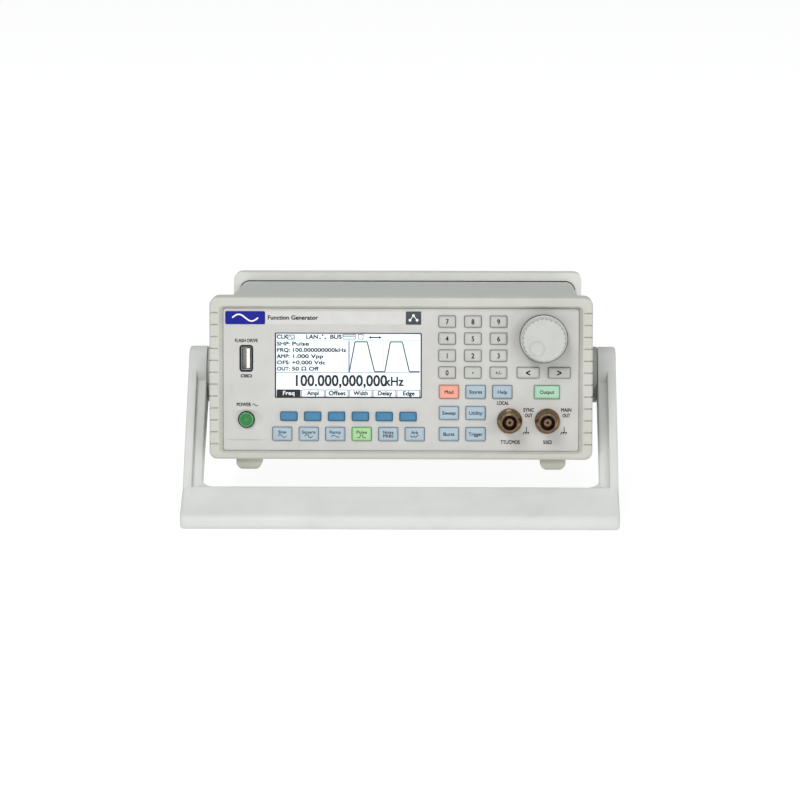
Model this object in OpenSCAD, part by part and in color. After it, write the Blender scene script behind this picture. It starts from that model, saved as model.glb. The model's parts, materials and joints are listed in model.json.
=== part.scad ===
// Bench function generator: half-width case, carrying handle that doubles as a stand,
// colour-coded keys, rotary control and coaxial sockets.
//
// The instrument is drawn level, with X to the right, Y from the front face to the back
// and Z up from mid-height. place() then leans it back onto its handle and rear feet.

/* [Case] */
// Length from the front bezel's face to the rear bezel's face
body_l = 281; // [262:1:360]
// Width of the two bezels
bezel_w = 215; // [211:1:280]
// Height of the two bezels
bezel_h = 91; // [90:1:120]
// Depth of each bezel, front to back
bezel_d = 25; // [22:1:32]
// Corner radius of the bezels
bezel_r = 4.5; // [2:0.5:6]
// Width of the bezel's side bands
side_band = 7.5; // [6:0.5:9]
// Height of the bezel's top band
top_band = 6; // [4:0.5:7]
// Height of the bezel's bottom band
bottom_band = 4.5; // [4:0.5:7]
// Width of the ledge that a panel rests on
ledge = 2; // [1:0.5:3]
// How far the cover sits below the top of the bezels
cover_drop = 5.5; // [4:0.5:6]
// How far the cover sits inside the sides of the bezels
cover_inset = 1; // [0.5:0.25:2]
// Corner radius of the cover and the tray
cover_r = 5; // [3:0.5:7]
// Sheet thickness of the cover
cover_t = 1.2; // [0.8:0.1:2]
// Sheet thickness of the tray
tray_t = 1.5; // [1:0.1:2.5]
// Height of the tray's side walls
tray_h = 10; // [6:1:16]
// Height of the lip on the tray that the cover fits over
lip_h = 8; // [4:1:12]
// Width of one groove around the side of a bezel
groove_w = 0.8; // [0.5:0.1:1.5]
// Depth of one groove
groove_depth = 0.7; // [0.4:0.1:1]
// Distance between grooves
groove_pitch = 6.7; // [5:0.1:7]
// Number of grooves on each side
groove_count = 12; // [6:1:12]

/* [Panels] */
// Depth of the front panel's face behind the bezel's face
panel_recess = 3; // [2:0.5:4]
// Thickness of the front panel
panel_t = 3; // [2:0.5:4]
// Depth of the rear panel's face inside the rear bezel
rear_recess = 16; // [14:0.5:17]
// Thickness of the rear panel
rear_t = 2; // [1.5:0.5:3]
// Gap around a panel in its bezel
panel_fit = 0.2; // [0.1:0.05:0.4]
// Width of the display's window
window_w = 82.6; // [70:0.2:84]
// Height of the display's window
window_h = 36.9; // [30:0.1:38]
// Height of the window's centre above mid-height
window_z = 7.05; // [6:0.05:9]
// Width of the recess that runs around the window
window_border = 3.3; // [2:0.1:4]
// Thickness of the clear window
window_t = 1.5; // [1:0.1:2]
// Depth of the display module behind the front panel
display_t = 7; // [5:0.5:8]
// Thickness of the circuit boards
board_t = 1.6; // [1:0.1:2.4]

/* [Keys] */
// Travel of the keys
key_travel = 1; // [0.6:0.1:1.2]
// How far a key stands proud of the panel
key_proud = 2; // [1:0.1:2.5]
// Gap between a key and its hole
key_fit = 0.3; // [0.2:0.05:0.35]
// Corner radius of a key
key_r = 0.8; // [0.4:0.1:1.2]
// Width of the flange that keeps a key behind the panel
key_flange = 1; // [0.6:0.1:1.1]
// Width of a soft key below the display
soft_w = 9.2; // [7:0.1:10]
// Height of a soft key
soft_h = 4.8; // [4:0.1:5]
// Width of a waveform key
wave_w = 10.7; // [8:0.1:12]
// Height of a waveform key
wave_h = 7.4; // [5:0.1:8]
// Width of a number key
digit_w = 9.25; // [7:0.05:11]
// Height of a number key
digit_h = 6.2; // [5:0.1:7]
// Width of a cursor key
cursor_w = 12.2; // [9:0.1:14]
// Height of a cursor key
cursor_h = 5.9; // [5:0.1:7]
// Width of a function key
func_w = 10.8; // [8:0.1:12]
// Height of a function key
func_h = 7.3; // [6:0.1:9]
// Width of the output key
output_w = 14.1; // [10:0.1:16]
// Diameter of the power button
power_d = 8.2; // [6:0.1:9]
// Travel of the power button
power_travel = 1.5; // [1:0.1:1.6]

/* [Rotary control] */
// Diameter of the control knob
knob_d = 26.5; // [20:0.5:28]
// Distance from the panel to the front of the knob
knob_h = 17; // [12:0.5:17]
// Gap between the back of the knob and the panel
knob_gap = 1.5; // [1.2:0.1:2]
// Diameter of the encoder's shaft
shaft_d = 6; // [4:0.5:6]
// Diameter of the encoder's threaded bush
bush_d = 9; // [7.5:0.5:10]
// Running gap around the shaft
shaft_fit = 0.05; // [0.02:0.01:0.1]
// Side of the encoder's square body
encoder_w = 14; // [12:0.5:16]

/* [Connectors] */
// Diameter of a coaxial socket's barrel
bnc_d = 9.6; // [9.4:0.1:9.8]
// Length of a coaxial socket in front of its panel
bnc_l = 14; // [11:0.5:14]
// Diameter of the nut behind a coaxial socket's barrel
bnc_nut_d = 14.5; // [13:0.5:15.5]
// Thickness of that nut
bnc_nut_t = 2; // [1.5:0.5:3]
// Height of the slot of the upright serial socket on the front
usb_h = 13.1; // [12.5:0.1:13.5]
// Width of that socket
usb_w = 5.7; // [5.5:0.1:6]
// Depth of that socket
usb_l = 14; // [12:0.5:16]
// Width of the mains inlet's flange
inlet_w = 31; // [30:0.5:36]
// Height of the mains inlet's flange
inlet_h = 46; // [42:0.5:48]
// Width of the cavity that takes the mains plug
plug_w = 24.5; // [24:0.1:26]
// Height of the cavity that takes the mains plug
plug_h = 16.5; // [16:0.1:17.5]
// Depth of the cavity that takes the mains plug
plug_l = 17; // [15:0.5:18]
// Gap around the fuse drawer
drawer_fit = 0.3; // [0.2:0.05:0.4]
// Travel of the fuse drawer
drawer_travel = 14; // [8:1:16]

/* [Handle and feet] */
// Height of the feet
foot_h = 6; // [4:0.5:9]
// Width of a foot where it meets the case
foot_top_w = 14.3; // [12:0.1:18]
// Width of a foot on the ground
foot_w = 8.9; // [7:0.1:11]
// Length of a foot
foot_l = 16; // [12:1:18]
// Distance of the feet from the sides of the case
foot_inset = 22.1; // [16:0.1:40]
// Distance of the handle's pivot behind the front face
pivot_y = 60; // [55:1:64]
// Height of the handle's pivot above mid-height
pivot_z = -2; // [-4:0.5:4]
// Radius of the handle's pivot bosses
boss_r = 16; // [12:0.5:20]
// Diameter of the handle's pivot pins
pivot_pin_d = 12; // [8:0.5:16]
// Running gap around a pivot pin
pivot_fit = 0.06; // [0.02:0.01:0.1]
// Gap between the case and the handle's arms
arm_gap = 5; // [4:0.25:8]
// Thickness of an arm's outer flange
flange_t = 5; // [4:0.25:7]
// Thickness of an arm's inner web
web_t = 5.5; // [4:0.25:7]
// Length of the arms from the pivot to the bend
arm_l = 88; // [87:0.5:110]
// Width of an arm at the boss
arm_w = 28; // [20:0.5:30]
// Width of an arm at the bend
arm_end_w = 15; // [12:0.5:20]
// Depth of the step from the flange down to the web
web_step = 4; // [2:0.5:5]
// Length of the bar from the bend to its rounded edge
bar_l = 36; // [28:0.5:44]
// Thickness of the bar
bar_t = 9; // [8:0.5:12]
// Forward lean of the arms from straight down, in degrees
arm_lean = 46; // [32:1:50]
// Further lean of the bar, in degrees
bar_kick = 18; // [10:1:24]

/* [Hidden] */
$fn = 48;
fine = 0.01;
half_w = bezel_w / 2;
half_h = bezel_h / 2;
left = side_band - half_w;
right = half_w - side_band;
recess_top = half_h - top_band;
recess_bottom = bottom_band - half_h;
recess_mid = (recess_top + recess_bottom) / 2;
recess_h = recess_top - recess_bottom;
panel_back = panel_recess + panel_t;
cover_half_w = half_w - cover_inset;
cover_half_h = half_h - cover_drop;
inner_w = right - left - 2 * ledge;
inner_h = 2 * (cover_half_h - ledge);
rear_face = body_l - rear_recess;
rear_back = rear_face - rear_t;
window_x = left + 70.4;
window_step = 1;
panel_edge_r = 1;
lcd_edge = 0.5;
groove_land = 3;
board_y = panel_back + display_t;
board_margin = 2;
flange_gap = 0.15;
bush_proud = 1;
shaft_press = 0.02;
knob_top_t = 5;
knob_rim = 1.5;
knob_rim_t = 2;
shaft_front = panel_recess - knob_h + knob_top_t;
shaft_end = 2;
shaft_gap = 0.5;
dimple_r = 7;
dimple_depth = 1.8;
dimple_offset = 4.4;
mat_t = display_t - key_travel - 1.5;

// Key rows: first centre and spacing across, then height above mid-height
soft_x = left + 37.1;
soft_pitch = 13.39;
soft_z = -21.5;
wave_x = left + 33.4;
wave_pitch = 14.88;
wave_z = -31.4;
digit_x = right - 74.1;
digit_pitch = 14.4;
digit_z = 32;
digit_drop = 9.55;
cursor_x = right - 28.7;
cursor_pitch = 17.5;
cursor_z = 3.4;
func_x = right - 73;
func_pitch = 14.95;
func_z = -7.5;
func_drop = 11.9;
output_x = right - 18.1;
power_x = left + 13.2;
power_z = -23.4;
usb_x = left + 13.2;
usb_z = 11;
knob_x = right - 20;
knob_z = 22.6;
bnc_z = -23.8;
FRONT_BNC = [[right - 39, bnc_z], [right - 17.8, bnc_z]];
REAR_BNC = [for (i = [0:3]) [right - 20 - 19 * i, 20]];

// Front board and keypad mat, between the front panel's posts
post_r = 2.5;
board_w = inner_w - 2 * board_margin;
board_h = inner_h - 2 * board_margin;
POSTS = [for (x = [-1, 1], z = [-1, 1]) [x * (board_w / 2 - post_r), z * (board_h / 2 - post_r)]];
display_margin = 4;
mat_y = board_y - mat_t;
mat_gap = 1;
mat_margin = 1;
mat_edge = 1.3;
left_mat_w = 6 * wave_pitch - 2 * mat_margin;
right_mat_w = right - 10 - digit_x + digit_w / 2;
mat_top = soft_z + soft_h / 2 + mat_edge;
mat_bottom = wave_z - wave_h / 2 - mat_edge;

// Connectors
bnc_body_r = 6;
bnc_wall = 0.8;
bnc_pin_r = 0.7;
bnc_core_r = 2.3;
bnc_lug_r = 0.9;
bnc_tip_l = 4;
bnc_step = 0.2;
bnc_lug_proud = 0.8;
bnc_bore_l = 11;
bnc_core_l = 9.1;
bnc_pin_l = 6;
bnc_lug_gap = 0.1;
bnc_tail_front = board_y + board_t + 2 - panel_recess;
bnc_tail_rear = 14;
usb_wall = 0.35;
usb_tongue = [1.9, 11];
usb_tongue_gap = 0.1;
usb_tongue_set = 1;
usb_margin = [2, 1.5];
usb_back = 1;
inlet_x = left + 26;
inlet_z = 0;
inlet_body_w = inlet_w - 4;
inlet_body_h = inlet_h - 6;
inlet_flange = 2.5;
inlet_l = 27;
plug_z = inlet_z + 8;
plug_cut = 5;
BLADES = [[-7, -2], [0, 2], [7, -2]];
blade = [2, 4];
blade_set = 4.5;
inlet_r = 2;
drawer_w = 22;
drawer_h = 8;
drawer_l = 24;
drawer_z = inlet_z - 12;
drawer_clear = 1;
drawer_wall = 2;
drawer_lip = [drawer_w + 2, 2.5];
drawer_lip_t = 1;
port_l = 18;
port_proud = 1.5;
port_z = -22;
lan_x = left + 68;
lan_size = [16, 13.5];
lan_cavity = [11.8, 8.2];
lan_back = 3;
device_x = left + 92;
device_size = [12, 11];
device_tongue = [5.6, 3.2];
device_wall = 1.5;
device_back = 6;
gpib_x = right - 44;
gpib_size = [54, 15];
gpib_skirt = 6;
gpib_ears = 6;
gpib_wall = 1;
gpib_floor = 1;
gpib_tongue = [34, 3.5];
gpib_skirt_r = 3;

// Case shell, tray and the boards in it
shell_l = body_l - 2 * bezel_d;
split_z = tray_h - cover_half_h;
tray_floor = tray_t - cover_half_h;
lip_gap = 0.1;
lip_x = cover_half_w - cover_t - lip_gap - tray_t;
vent_w = 2;
vent_l = 22;
vent_pitch = 6;
vent_count = 12;
vent_back = 60;
lip_end = 1;
lip_foot = 4;
standoff_r = 3;
standoff_h = 8;
standoff_inset = 5;
MAIN_BOARD = [[-28, bezel_d + 12], [right - 6, rear_back - 28]];
STANDOFFS = [for (x = [MAIN_BOARD[0][0] + standoff_inset, MAIN_BOARD[1][0] - standoff_inset],
    y = [MAIN_BOARD[0][1] + standoff_inset, MAIN_BOARD[1][1] - standoff_inset]) [x, y]];
// Parts on the main board: x, y behind the front bezel, width, length and height
CHIPS = [[0, 60, 28, 28, 3], [40, 50, 20, 20, 2], [40, 90, 14, 22, 2.5],
    [0, 110, 20, 14, 2.5], [70, 60, 24, 60, 12], [10, 160, 30, 16, 4]];
supply_w = 60;
supply_l = 120;
supply_h = 42;
supply_x = left + 6;
slot_count = 10;
slot_pitch = 11;
slot_w = 4;
slot_margin = 10;
slot_depth = 2;
supply_y = rear_back - 40 - supply_l;
rear_h = inner_h + 2 * ledge;
screw_r = 1.5;
screw_fit = 0.1;
screw_l = 12;
screw_head_r = 2.9;
screw_head_t = 1.8;
screw_inset = 4.4;
SCREWS = [for (x = [-1, 1], z = [-1, 1]) [x * (half_w - screw_inset), z * (half_h - screw_inset)]];

soft_blue = "#3e80af";
sky_blue = "#b9cfde";
green = "#a6e0a0";
salmon = "#fa9682";
beige = "#e6e3da";
SOFT_NAMES = [for (i = [1:6]) str("soft_key_", i)];
WAVE_NAMES = ["sine_key", "square_key", "ramp_key", "pulse_key", "noise_key", "arb_key"];
DIGIT_NAMES = ["digit_7", "digit_8", "digit_9", "digit_4", "digit_5", "digit_6",
    "digit_1", "digit_2", "digit_3", "digit_0", "point_key", "sign_key"];
CURSOR_NAMES = ["cursor_left", "cursor_right"];
// Function keys: name, column, row and colour
FUNC_KEYS = [["mod_key", 0, 0, salmon], ["stores_key", 1, 0, sky_blue],
    ["help_key", 2, 0, sky_blue], ["sweep_key", 0, 1, sky_blue],
    ["utility_key", 1, 1, sky_blue], ["burst_key", 0, 2, sky_blue],
    ["trigger_key", 1, 2, sky_blue]];
// Every key: name, centre across, centre up, width, height and colour
KEYS = concat(
    [for (i = [0:5]) [SOFT_NAMES[i], soft_x + i * soft_pitch, soft_z, soft_w, soft_h, soft_blue]],
    [for (i = [0:5]) [WAVE_NAMES[i], wave_x + i * wave_pitch, wave_z, wave_w, wave_h,
        i == 3 ? green : sky_blue]],
    [for (i = [0:11]) [DIGIT_NAMES[i], digit_x + (i % 3) * digit_pitch,
        digit_z - floor(i / 3) * digit_drop, digit_w, digit_h, beige]],
    [for (i = [0:1]) [CURSOR_NAMES[i], cursor_x + i * cursor_pitch, cursor_z,
        cursor_w, cursor_h, beige]],
    [for (k = FUNC_KEYS) [k[0], func_x + k[1] * func_pitch, func_z - k[2] * func_drop,
        func_w, func_h, k[3]]],
    [["output_key", output_x, func_z, output_w, func_h, green]]
);
key_names = [for (k = KEYS) k[0]];

// Side profile of the handle: u runs out along the arm, v towards its front edge
boss_x = cover_half_w + arm_gap;
arm_x = boss_x + web_t;
handle_x = arm_x + flange_t;
arm_foot = 8;
bar_bevel = 2;
pin_l = web_t + 1;
pin_end_gap = 0.6;
disc_t = arm_gap - 0.3;
bend = [arm_l, 0];
along = [cos(bar_kick), sin(bar_kick)];
across = [-sin(bar_kick), cos(bar_kick)];
bar_end = bend + (bar_l - bar_t / 2) * along;

// Where the handle's rounded edge and the rear feet touch the ground, and the lean
// that puts both of them on it
function leaned(p) = [pivot_y - p[0] * sin(arm_lean) - p[1] * cos(arm_lean),
    pivot_z - p[0] * cos(arm_lean) + p[1] * sin(arm_lean)];
bar_at = leaned(bar_end);
foot_end = 4;
foot_shoulder = 0.9;
foot_back = body_l - foot_end;
foot_bottom = -half_h - foot_h;
span = [foot_back - bar_at[0], foot_bottom - bar_at[1]];
tilt = asin(bar_t / 2 / norm(span)) + atan2(span[1], span[0]);
function tilted(p) = [p[0] * cos(tilt) + p[1] * sin(tilt), p[1] * cos(tilt) - p[0] * sin(tilt)];
front_most = tilted(bar_at)[0] - bar_t / 2;
back_most = tilted([body_l, half_h])[0];
shift_y = -(front_most + back_most) / 2;
shift_z = -tilted([foot_back, foot_bottom])[1];

module place() translate([0, shift_y, shift_z]) rotate([-tilt, 0, 0]) children();

// Extrudes an X-Z outline from y0 back by depth
module slab(y0, depth) translate([0, y0 + depth, 0]) rotate([90, 0, 0]) linear_extrude(depth) children();

// Round bar along Y
module rod(x, z, r, y0, depth) translate([x, y0 + depth, z]) rotate([90, 0, 0]) cylinder(h = depth, r = r);

// Outline of a rectangle with round corners, centred
function arc(c, r, a0, a1, steps) =
    [for (i = [0:steps]) c + r * [cos(a0 + (a1 - a0) * i / steps), sin(a0 + (a1 - a0) * i / steps)]];
function rounded(w, h, r) = concat(
    arc([w / 2 - r, h / 2 - r], r, 0, 90, 6),
    arc([r - w / 2, h / 2 - r], r, 90, 180, 6),
    arc([r - w / 2, r - h / 2], r, 180, 270, 6),
    arc([w / 2 - r, r - h / 2], r, 270, 360, 6));
module round_rect(x, z, w, h, r) translate([x, z]) polygon(rounded(w, h, r));
module square_at(x, z, w, h) translate([x, z]) square([w, h], center = true);

// Grooves that run round both sides of a bezel from y0 back by depth
module grooves(y0, depth) for (side = [-1, 1], i = [0:groove_count - 1])
    translate([side * half_w - groove_depth, y0, (i - (groove_count - 1) / 2) * groove_pitch - groove_w / 2])
        cube([2 * groove_depth, depth, groove_w]);

module front_bezel() color("#c8c9c0") place() difference() {
    slab(0, bezel_d) round_rect(0, 0, bezel_w, bezel_h, bezel_r);
    slab(-fine, panel_back + fine)
        translate([left, recess_bottom]) square([right - left, recess_h]);
    slab(panel_back - fine, bezel_d) square([inner_w, inner_h], center = true);
    grooves(-fine, bezel_d - groove_land);
}

// Cuts a key's hole through the front panel
module key_hole(k) slab(panel_recess - fine, panel_t + 2 * fine)
    round_rect(k[1], k[2], k[3] + 2 * key_fit, k[4] + 2 * key_fit, key_r + key_fit);

module front_panel() color("#c8c6c2") place() {
    difference() {
        slab(panel_recess, panel_t) translate([left + panel_fit, recess_bottom + panel_fit])
            square([right - left - 2 * panel_fit, recess_h - 2 * panel_fit]);
        slab(panel_recess - fine, window_step + fine)
            round_rect(window_x, window_z, window_w + 2 * window_border,
                window_h + 2 * window_border, panel_edge_r);
        slab(panel_recess, panel_t + fine) square_at(window_x, window_z, window_w, window_h);
        for (k = KEYS) key_hole(k);
        slab(panel_recess - fine, panel_t + 2 * fine) 
            round_rect(usb_x, usb_z, usb_w + usb_margin[0], usb_h + usb_margin[1], panel_edge_r);
        rod(power_x, power_z, power_d / 2 + key_fit, panel_recess - fine, panel_t + 2 * fine);
        rod(knob_x, knob_z, bush_d / 2, panel_recess - fine, panel_t + 2 * fine);
        for (p = FRONT_BNC) rod(p[0], p[1], bnc_d / 2, panel_recess - fine, panel_t + 2 * fine);
    }
    for (p = POSTS) rod(p[0], p[1], post_r, panel_back - fine, display_t + fine);
}

module display_window() color("#dfe6ea", 0.4) place()
    slab(panel_recess + window_step, window_t) square_at(window_x, window_z, window_w, window_h);

module lcd_module() color("#eef2f4") place() {
    slab(panel_back, display_t) square_at(window_x, window_z,
        window_w + 2 * display_margin, window_h + 2 * display_margin);
    slab(panel_recess + window_step + window_t, panel_t - window_step - window_t)
        square_at(window_x, window_z, window_w - 2 * lcd_edge, window_h - 2 * lcd_edge);
}

module keypad_mat() color("#6b6f73") place() difference() {
    union() {
        slab(mat_y, mat_t) translate([wave_x - wave_pitch / 2 + mat_margin, mat_bottom])
            square([left_mat_w, mat_top - mat_bottom]);
        slab(mat_y, mat_t) translate([digit_x - digit_w / 2 - mat_margin, mat_bottom])
            square([right_mat_w, digit_z + digit_h / 2 - mat_bottom + mat_margin]);
    }
    slab(mat_y - fine, mat_t + 2 * fine)
        square_at(knob_x, knob_z, encoder_w + 2 * mat_gap, encoder_w + 2 * mat_gap);
    for (p = FRONT_BNC) rod(p[0], p[1], bnc_body_r + mat_gap, mat_y - fine, mat_t + 2 * fine);
}

module front_board() color("#2f6b45") place() difference() {
    slab(board_y, board_t) square([board_w, board_h], center = true);
    for (p = FRONT_BNC) rod(p[0], p[1], bnc_body_r, board_y - fine, board_t + 2 * fine);
    slab(board_y - fine, board_t + 2 * fine) square_at(usb_x, usb_z, usb_w, usb_h);
}

module usb_host_socket() color("#c9ccce") place() {
    difference() {
        slab(panel_recess, usb_l) square_at(usb_x, usb_z, usb_w, usb_h);
        slab(panel_recess - fine, usb_l - usb_back)
            square_at(usb_x, usb_z, usb_w - 2 * usb_wall, usb_h - 2 * usb_wall);
    }
    slab(panel_recess + usb_tongue_set, usb_l - usb_tongue_set - usb_back + fine)
        translate([usb_x + usb_tongue_gap, usb_z - usb_tongue[1] / 2]) square(usb_tongue);
}

// One coaxial socket on a panel: s is 1 when it faces the front and -1 when it faces the back
module bnc(x, z, face, s, back_l) {
    module run(r, d0, d1) rod(x, z, r, min(face - s * d0, face - s * d1), abs(d1 - d0));
    difference() {
        union() {
            run(bnc_d / 2, bnc_l - bnc_tip_l - bnc_step, bnc_l);
            run(bnc_d / 2 + bnc_step, 0, bnc_l - bnc_tip_l);
            run(bnc_nut_d / 2, 0, bnc_nut_t);
            translate([x, face - s * (bnc_l - bnc_tip_l - bnc_lug_r - bnc_lug_gap), z]) rotate([0, 90, 0])
                cylinder(h = bnc_d + 2 * bnc_lug_proud, r = bnc_lug_r, center = true);
        }
        run(bnc_d / 2 - bnc_wall, bnc_l - bnc_bore_l, bnc_l + fine);
    }
    difference() {
        run(bnc_core_r, bnc_l - bnc_bore_l - fine, bnc_l - bnc_bore_l + bnc_core_l);
        run(bnc_pin_r, bnc_l - bnc_bore_l + bnc_core_l - bnc_pin_l, bnc_l);
    }
    run(bnc_d / 2, -panel_t, fine);
    run(bnc_body_r, -back_l, -panel_t);
}

module bnc_sockets_front() color("#b6a98c") place()
    for (p = FRONT_BNC) bnc(p[0], p[1], panel_recess, 1, bnc_tail_front);

module bnc_sockets_rear() color("#b9b7ae") place()
    for (p = REAR_BNC) bnc(p[0], p[1], rear_face, -1, bnc_tail_rear);

// Half of the folded sheet shell between the bezels, z0 to z1, of thickness t
module shell(t, z0, z1) intersection() {
    difference() {
        slab(bezel_d, shell_l) round_rect(0, 0, 2 * cover_half_w, 2 * cover_half_h, cover_r);
        slab(bezel_d - fine, shell_l + 2 * fine)
            round_rect(0, 0, 2 * (cover_half_w - t), 2 * (cover_half_h - t), cover_r - t);
    }
    translate([-bezel_w, bezel_d, z0]) cube([2 * bezel_w, shell_l, z1 - z0]);
}

module top_cover() color("#acb0aa") place() shell(cover_t, split_z, half_h);

module chassis_tray() color("#b4b8b6") place() {
    difference() {
        shell(tray_t, -half_h, split_z);
        for (i = [0:vent_count - 1])
            translate([-(vent_count - 1) * vent_pitch / 2 + i * vent_pitch - vent_w / 2,
                body_l - bezel_d - vent_back, -half_h])
                    cube([vent_w, vent_l, half_h / 2]);
    }
    for (side = [-1, 1])
        translate([side * (lip_x + tray_t / 2) - tray_t / 2, bezel_d + lip_end, split_z - lip_foot])
            cube([tray_t, shell_l - 2 * lip_end, lip_h + lip_foot]);
    for (side = [-1, 1])
        translate([side * (cover_half_w - cover_t) - cover_t, bezel_d + lip_end, split_z - lip_foot])
            cube([2 * cover_t - fine, shell_l - 2 * lip_end, lip_foot]);
    for (p = STANDOFFS) translate([p[0], p[1], tray_floor - fine]) cylinder(h = standoff_h, r = standoff_r);
}

module rear_bezel() color("#c8c9c0") place() difference() {
    slab(body_l - bezel_d, bezel_d) round_rect(0, 0, bezel_w, bezel_h, bezel_r);
    slab(rear_back, rear_recess + rear_t + fine) square([right - left, rear_h], center = true);
    slab(body_l - bezel_d - fine, bezel_d) square([inner_w, inner_h], center = true);
    grooves(body_l - bezel_d + groove_land, bezel_d);
    for (p = SCREWS) {
        rod(p[0], p[1], screw_r + screw_fit, body_l - screw_l, screw_l + fine);
        rod(p[0], p[1], screw_head_r + screw_fit, body_l - screw_head_t, screw_head_t + fine);
    }
}

module rear_panel() color("#c2c4c2") place() difference() {
    slab(rear_back, rear_t) square([right - left - 2 * panel_fit, rear_h - 2 * panel_fit], center = true);
    for (p = REAR_BNC) rod(p[0], p[1], bnc_d / 2, rear_back - fine, rear_t + 2 * fine);
    slab(rear_back - fine, rear_t + 2 * fine) {
        square_at(inlet_x, inlet_z, inlet_body_w, inlet_body_h);
        square_at(lan_x, port_z, lan_size[0], lan_size[1]);
        square_at(device_x, port_z, device_size[0], device_size[1]);
        square_at(gpib_x, port_z, gpib_size[0], gpib_size[1]);
    }
}

// Outline of the mains plug: a rectangle with two cut corners
module plug_outline() translate([inlet_x, plug_z]) polygon([
    [-plug_w / 2, -plug_h / 2], [plug_w / 2, -plug_h / 2], [plug_w / 2, plug_h / 2 - plug_cut],
    [plug_w / 2 - plug_cut, plug_h / 2], [plug_cut - plug_w / 2, plug_h / 2],
    [-plug_w / 2, plug_h / 2 - plug_cut]]);

module mains_inlet() color("#232425") place() {
    difference() {
        union() {
            slab(rear_face, inlet_flange) round_rect(inlet_x, inlet_z, inlet_w, inlet_h, inlet_r);
            slab(rear_face - inlet_l, inlet_l) square_at(inlet_x, inlet_z, inlet_body_w, inlet_body_h);
        }
        slab(rear_face + inlet_flange - plug_l, plug_l + fine) plug_outline();
        slab(rear_face + inlet_flange - drawer_l - drawer_clear, drawer_l + drawer_clear + fine)
            square_at(inlet_x, drawer_z, drawer_w + 2 * drawer_fit, drawer_h + 2 * drawer_fit);
    }
    for (p = BLADES) slab(rear_face + inlet_flange - plug_l - fine, plug_l - blade_set)
        square_at(inlet_x + p[0], plug_z + p[1], blade[0], blade[1]);
}

module fuse_drawer() color("#2c2d2f") place() {
    difference() {
        slab(rear_face + inlet_flange - drawer_l, drawer_l)
            square_at(inlet_x, drawer_z, drawer_w, drawer_h);
        slab(rear_face + inlet_flange - drawer_l + drawer_wall, drawer_l - 2.5 * drawer_wall)
            translate([inlet_x - drawer_w / 2 + drawer_wall, drawer_z - drawer_h / 2 + drawer_wall])
                square([drawer_w - 2 * drawer_wall, drawer_h]);
    }
    slab(rear_face + inlet_flange, drawer_lip_t)
        square_at(inlet_x, drawer_z, drawer_lip[0], drawer_lip[1]);
}

// Box socket in the rear panel with an open cavity that starts at depth back
module port(x, size, cavity, back) difference() {
    slab(rear_face + port_proud - port_l, port_l) square_at(x, port_z, size[0], size[1]);
    slab(rear_face + port_proud - port_l + back, port_l) square_at(x, port_z, cavity[0], cavity[1]);
}

module data_sockets() color("#9da1a3") place() {
    port(lan_x, lan_size, lan_cavity, lan_back);
    port(device_x, device_size, device_size - 2 * [device_wall, device_wall], device_back);
    slab(rear_face + port_proud - port_l + device_back - fine, port_l - device_back - 1)
        square_at(device_x, port_z, device_tongue[0], device_tongue[1]);
    slab(rear_face - port_l / 2, port_l / 2 + fine) square_at(gpib_x, port_z, gpib_size[0], gpib_size[1]);
    difference() {
        slab(rear_face, gpib_skirt) round_rect(gpib_x, port_z, gpib_size[0] - 2 * gpib_ears,
            gpib_size[1] - 3 * gpib_wall, gpib_skirt_r);
        slab(rear_face + gpib_floor, gpib_skirt) round_rect(gpib_x, port_z,
            gpib_size[0] - 2 * gpib_ears - 2 * gpib_wall, gpib_size[1] - 5 * gpib_wall,
            gpib_skirt_r - gpib_wall);
    }
    slab(rear_face + gpib_floor - fine, gpib_skirt - 2 * gpib_floor)
        round_rect(gpib_x, port_z, gpib_tongue[0], gpib_tongue[1], gpib_wall);
}

module main_board() color("#2f6b45") place() {
    translate([MAIN_BOARD[0][0], MAIN_BOARD[0][1], tray_floor + standoff_h])
        cube([MAIN_BOARD[1][0] - MAIN_BOARD[0][0], MAIN_BOARD[1][1] - MAIN_BOARD[0][1], board_t]);
    for (c = CHIPS) translate([c[0], bezel_d + c[1], tray_floor + standoff_h + board_t - fine])
        cube([c[2], c[3], c[4]]);
}

module power_supply() color("#a9adb0") place() difference() {
    translate([supply_x, supply_y, tray_floor]) cube([supply_w, supply_l, supply_h]);
    for (i = [0:slot_count - 1])
        translate([supply_x + slot_margin, supply_y + 2 * slot_w + i * slot_pitch,
            tray_floor + supply_h - slot_depth])
            cube([supply_w - 2 * slot_margin, slot_w, 2 * slot_depth]);
}

module foot(x, y) translate([x, y + foot_l, -half_h]) rotate([90, 0, 0]) linear_extrude(foot_l)
    polygon([[-foot_top_w / 2, 0], [-foot_top_w / 2, -foot_h / 4],
        [foot_shoulder - foot_top_w / 2, -0.65 * foot_h], [-foot_w / 2, -foot_h],
        [foot_w / 2, -foot_h], [foot_top_w / 2 - foot_shoulder, -0.65 * foot_h],
        [foot_top_w / 2, -foot_h / 4], [foot_top_w / 2, 0]]);
module feet() color("#8f948c") place()
    for (side = [-1, 1], y = [foot_end, foot_back - foot_l]) foot(side * (half_w - foot_inset), y);

module screws() color("#8d8f90") place() for (p = SCREWS) {
    rod(p[0], p[1], screw_r, body_l - screw_l, screw_l - screw_head_t + fine);
    rod(p[0], p[1], screw_head_r, body_l - screw_head_t, screw_head_t);
}

// Extrudes a side profile given in the handle's own directions across X, centred on x
module profile(x, t, points) translate([x - t / 2, 0, 0]) rotate([90, 0, 90])
    linear_extrude(t) polygon([for (p = points) leaned(p)]);

// Round piece along X on the handle's pivot
module on_pivot(x, t, r) translate([x, pivot_y, pivot_z]) rotate([0, 90, 0])
    cylinder(h = t, r = r, center = true);

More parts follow.
